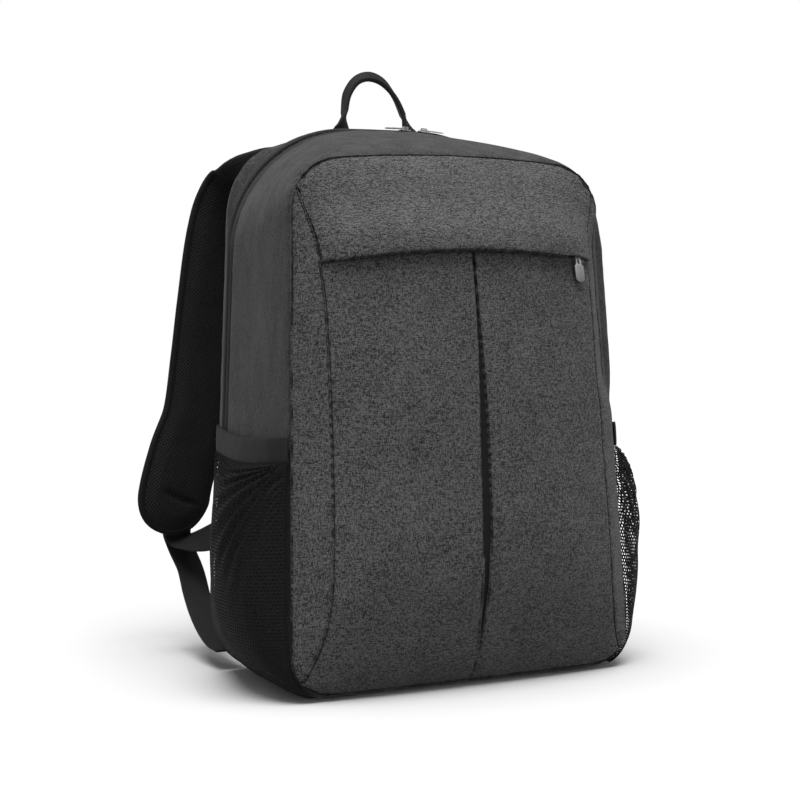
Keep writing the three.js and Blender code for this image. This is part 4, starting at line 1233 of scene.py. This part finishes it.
class BACKPACK_OT_webbing(bpy.types.Operator):
    """Lower webbing, free ends, buckle loops and handle"""

    bl_idname = "backpack.webbing"
    bl_label = "Webbing"

    def execute(self, context):
        _, colours = settings()
        web = woven("webbing", colours.webbing)
        start = strap_root()
        rear = start + STRAP_REACH * STRAP_ROWS[-1][0] + STRAP_THICKNESS / 2 + SEAM_GAP
        buckle_top = STRAP_HEIGHT - STRAP_DROP + STRAP_END_WIDTH / 2 - BUCKLE_MARGIN
        strand_top = buckle_top - BUCKLE_HEIGHT - 2 * SEAM_GAP
        buckle_x = STRAP_INSET + STRAP_SPLAY - BUCKLE_INSET
        web_top = rear + BUCKLE_THICKNESS - WEB_THICKNESS / 2
        tail_top = web_top - (BUCKLE_THICKNESS - WEB_THICKNESS)
        loop = web_section(WEB_WIDTH, WEB_THICKNESS)
        for side, name in SIDES:
            web_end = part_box(f"lower_web_{name}")[0].y
            path, _ = path_through(
                WEB_ROWS,
                lambda row: (side * (buckle_x - WEB_SLANT / 2 + WEB_SLANT * row[2]),
                             web_top + (web_end - web_top) * row[0],
                             strand_top - WEB_DROP * row[1]),
                lambda row: (1, 0, 0), 160)
            band(f"lower_web_{name}_band", path, lambda place: loop, web, f"lower_web_{name}")
            path, _ = path_through(
                TAIL_ROWS,
                lambda row: (side * (buckle_x - TAIL_SHIFT * row[2]),
                             tail_top - TAIL_LENGTH * row[0], strand_top - TAIL_DROP * row[1]),
                lambda row: (-side * (1 - row[3]), 0, row[3]), 160)
            band(f"tail_{name}_band", path, lambda place: loop, web, f"tail_{name}")
            x, y = side * buckle_x, rear + WEB_THICKNESS / 2
            low = buckle_top + SEAM_GAP
            path, _ = path_through(
                [(low,), (low + LOOP_LENGTH / 2,), (low + LOOP_LENGTH,)],
                lambda row: (x, y, row[0]), lambda row: (1, 0, 0), 20)
            band(f"buckle_loop_{name}_band", path, lambda place: loop, web,
                 f"buckle_loop_{name}")
        self.handle(web)
        return {"FINISHED"}

    def handle(self, material):
        """Carrying handle, folded on itself between its two feet."""
        foot_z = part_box("handle")[0].z
        foot_y = Outline(HANDLE_DEPTH).y(foot_z)
        path, columns = path_through(
            HANDLE_ROWS,
            lambda row: (HANDLE_SPAN * row[0], foot_y + HANDLE_BACK * row[1],
                         foot_z + HANDLE_RISE * row[1]),
            lambda row: (1 - row[2], row[2] * 0.5, row[2] * 0.6 * (1 - abs(row[0]) * 2)), 300)

        def section(place):
            fold = path.read(columns[3], place)
            return web_section(HANDLE_WIDTH * (1 - fold / 2),
                               HANDLE_THICKNESS * (1 + (HANDLE_FOLD - 1) * fold), 20)

        band("handle_band", path, section, material, "handle", 1 * MM)


class BACKPACK_OT_fittings(bpy.types.Operator):
    """Buckles, zip sliders and pull tabs"""

    bl_idname = "backpack.fittings"
    bl_label = "Buckles, sliders and pull tabs"

    def execute(self, context):
        _, colours = settings()
        plastic = moulded("moulded plastic", colours.plastic)
        steel = metal("plated metal", colours.metal)
        for side in ("left", "right"):
            self.refined(f"buckle_{side}", f"buckle_{side}_frame", plastic, "black_plastic",
                         BAG, 1.6 * MM, -0.5 * MM, 0.5 * MM)
            self.refined(f"slider_{side}", f"slider_{side}_body", steel, "grey_metal",
                         BAG, 1.2 * MM, -0.2 * MM, 0.3 * MM)
            self.refined(f"pull_tab_{side}", f"pull_tab_{side}_plate", steel, "grey_metal",
                         f"tab_{side}", 0.9 * MM, -0.2 * MM, 0.12 * MM)
        dress_node("front_slider", steel)
        self.refined("front_pull_tab", "front_pull_tab_plate", steel, "grey_metal",
                     "tab_front", 1.1 * MM, -0.2 * MM, 0, widen=1.3)
        return {"FINISHED"}

    def refined(self, node, name, material, slot, body, margin, press, bevel, widen=1.0):
        """Copy of a CAD node with a sunk face inside a rim, and its edges rounded by bevel."""
        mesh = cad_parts[node].data.copy()
        mesh.name = name
        piece = link(name, mesh)
        only(piece)
        bpy.ops.object.mode_set(mode="EDIT")
        bpy.ops.mesh.select_all(action="SELECT")
        bpy.ops.mesh.remove_doubles(threshold=0.01 * MM)
        bpy.ops.mesh.dissolve_limited(angle_limit=math.radians(2))
        bpy.ops.mesh.select_all(action="DESELECT")
        bpy.ops.object.mode_set(mode="OBJECT")
        areas = sorted((face.area for face in mesh.polygons), reverse=True)
        for face in mesh.polygons:
            face.select = face.area >= areas[1] * 0.999
        bpy.ops.object.mode_set(mode="EDIT")
        bpy.ops.mesh.select_mode(type="FACE")
        bpy.ops.mesh.inset(thickness=margin, depth=press)
        bpy.ops.object.mode_set(mode="OBJECT")
        if widen != 1:
            co = points_of(piece)
            middle = co.mean(0)
            axis = np.linalg.svd(co - middle, full_matrices=False)[2][1]
            place_points(piece, co + np.outer((co - middle) @ axis, axis) * (widen - 1))
        if bevel:
            modifier = piece.modifiers.new("Bevel", "BEVEL")
            modifier.width, modifier.segments = bevel, 2
            modifier.limit_method, modifier.angle_limit = "ANGLE", SHARP
            bpy.ops.object.modifier_apply(modifier=modifier.name)
        mesh.materials.clear()
        mesh.materials.append(material)
        mesh.shade_smooth()
        bpy.ops.object.shade_smooth_by_angle(angle=SHARP)
        enter(piece, node, body)


class BACKPACK_OT_stage(bpy.types.Operator):
    """Floor, light and camera"""

    bl_idname = "backpack.stage"
    bl_label = "Stage"

    def execute(self, context):
        _, colours = settings()
        bpy.ops.object.select_all(action="DESELECT")
        bpy.ops.mesh.primitive_plane_add(size=30, location=(0, 0, -0.3 * MM))
        floor = context.object
        floor.name = "floor"
        paper = Finish("floor", roughness=0.9)
        paper.colour(paper.mixed(
            paper.noise(0.5, 2), dimmed(colours.floor, 0.99), colours.floor))
        floor.data.materials.append(paper.material)
        floor.visible_diffuse = False  # it throws no light back on the bag

        world = bpy.data.worlds.new("studio")
        context.scene.world = world
        world.use_nodes = True
        self.sky(world.node_tree)

        for name, aim, strength, spread in LIGHTS:
            lamp = bpy.data.lights.new(name, "SUN")
            lamp.energy = strength
            lamp.angle = math.radians(spread)
            light = bpy.data.objects.new(name, lamp)
            light.rotation_euler = Vector(aim).to_track_quat("Z", "Y").to_euler()
            context.scene.collection.objects.link(light)

        lens = bpy.data.cameras.new("camera")
        lens.sensor_width = 36
        lens.lens = FOCAL_LENGTH
        camera = bpy.data.objects.new("camera", lens)
        camera.location = CAMERA_AT
        camera.rotation_euler = (math.pi / 2 - CAMERA_PITCH, 0, CAMERA_TURN)
        context.scene.collection.objects.link(camera)
        context.scene.camera = camera
        context.scene.view_settings.view_transform = "Standard"
        return {"FINISHED"}

    def sky(self, tree):
        """White round the horizon, softer above and grey below."""
        background = tree.nodes["Background"]
        place = tree.nodes.new("ShaderNodeTexCoord")
        height = tree.nodes.new("ShaderNodeSeparateXYZ")
        ramp = tree.nodes.new("ShaderNodeValToRGB")
        tree.links.new(place.outputs["Generated"], height.inputs[0])
        span = tree.nodes.new("ShaderNodeMapRange")
        span.inputs["From Min"].default_value = -1
        tree.links.new(height.outputs["Z"], span.inputs["Value"])
        tree.links.new(span.outputs["Result"], ramp.inputs["Fac"])
        tree.links.new(ramp.outputs["Color"], background.inputs["Color"])
        for position, _ in SKY[1:-1]:
            ramp.color_ramp.elements.new(position)
        for element, (_, grey) in zip(ramp.color_ramp.elements, SKY):
            element.color = (grey, grey, grey, 1)


class BACKPACK_PT_panel(bpy.types.Panel):
    """Lists the sizes, the colours and the steps"""

    bl_idname = "BACKPACK_PT_panel"
    bl_label = "Laptop Backpack"
    bl_space_type = "VIEW_3D"
    bl_region_type = "UI"
    bl_category = "Backpack"

    def draw(self, context):
        for group in (context.scene.backpack_sizes, context.scene.backpack_colours):
            for key in group.bl_rna.properties.keys():
                if key not in ("rna_type", "name"):
                    self.layout.prop(group, key)
        for step in STEPS:
            self.layout.operator(step.bl_idname)


STEPS = (BACKPACK_OT_stage, BACKPACK_OT_front, BACKPACK_OT_lining, BACKPACK_OT_walls,
         BACKPACK_OT_back, BACKPACK_OT_zip, BACKPACK_OT_pockets, BACKPACK_OT_straps,
         BACKPACK_OT_webbing, BACKPACK_OT_fittings)
CLASSES = (BackpackSizes, BackpackColours, *STEPS, BACKPACK_PT_panel)


def register():
    for item in CLASSES:
        bpy.utils.register_class(item)
    bpy.types.Scene.backpack_sizes = bpy.props.PointerProperty(type=BackpackSizes)
    bpy.types.Scene.backpack_colours = bpy.props.PointerProperty(type=BackpackColours)


def unregister():
    del bpy.types.Scene.backpack_colours
    del bpy.types.Scene.backpack_sizes
    for item in reversed(CLASSES):
        bpy.utils.unregister_class(item)


def main():
    register()
    for step in STEPS:
        group, name = step.bl_idname.split(".")
        getattr(getattr(bpy.ops, group), name)()


if __name__ == "__main__":
    main()
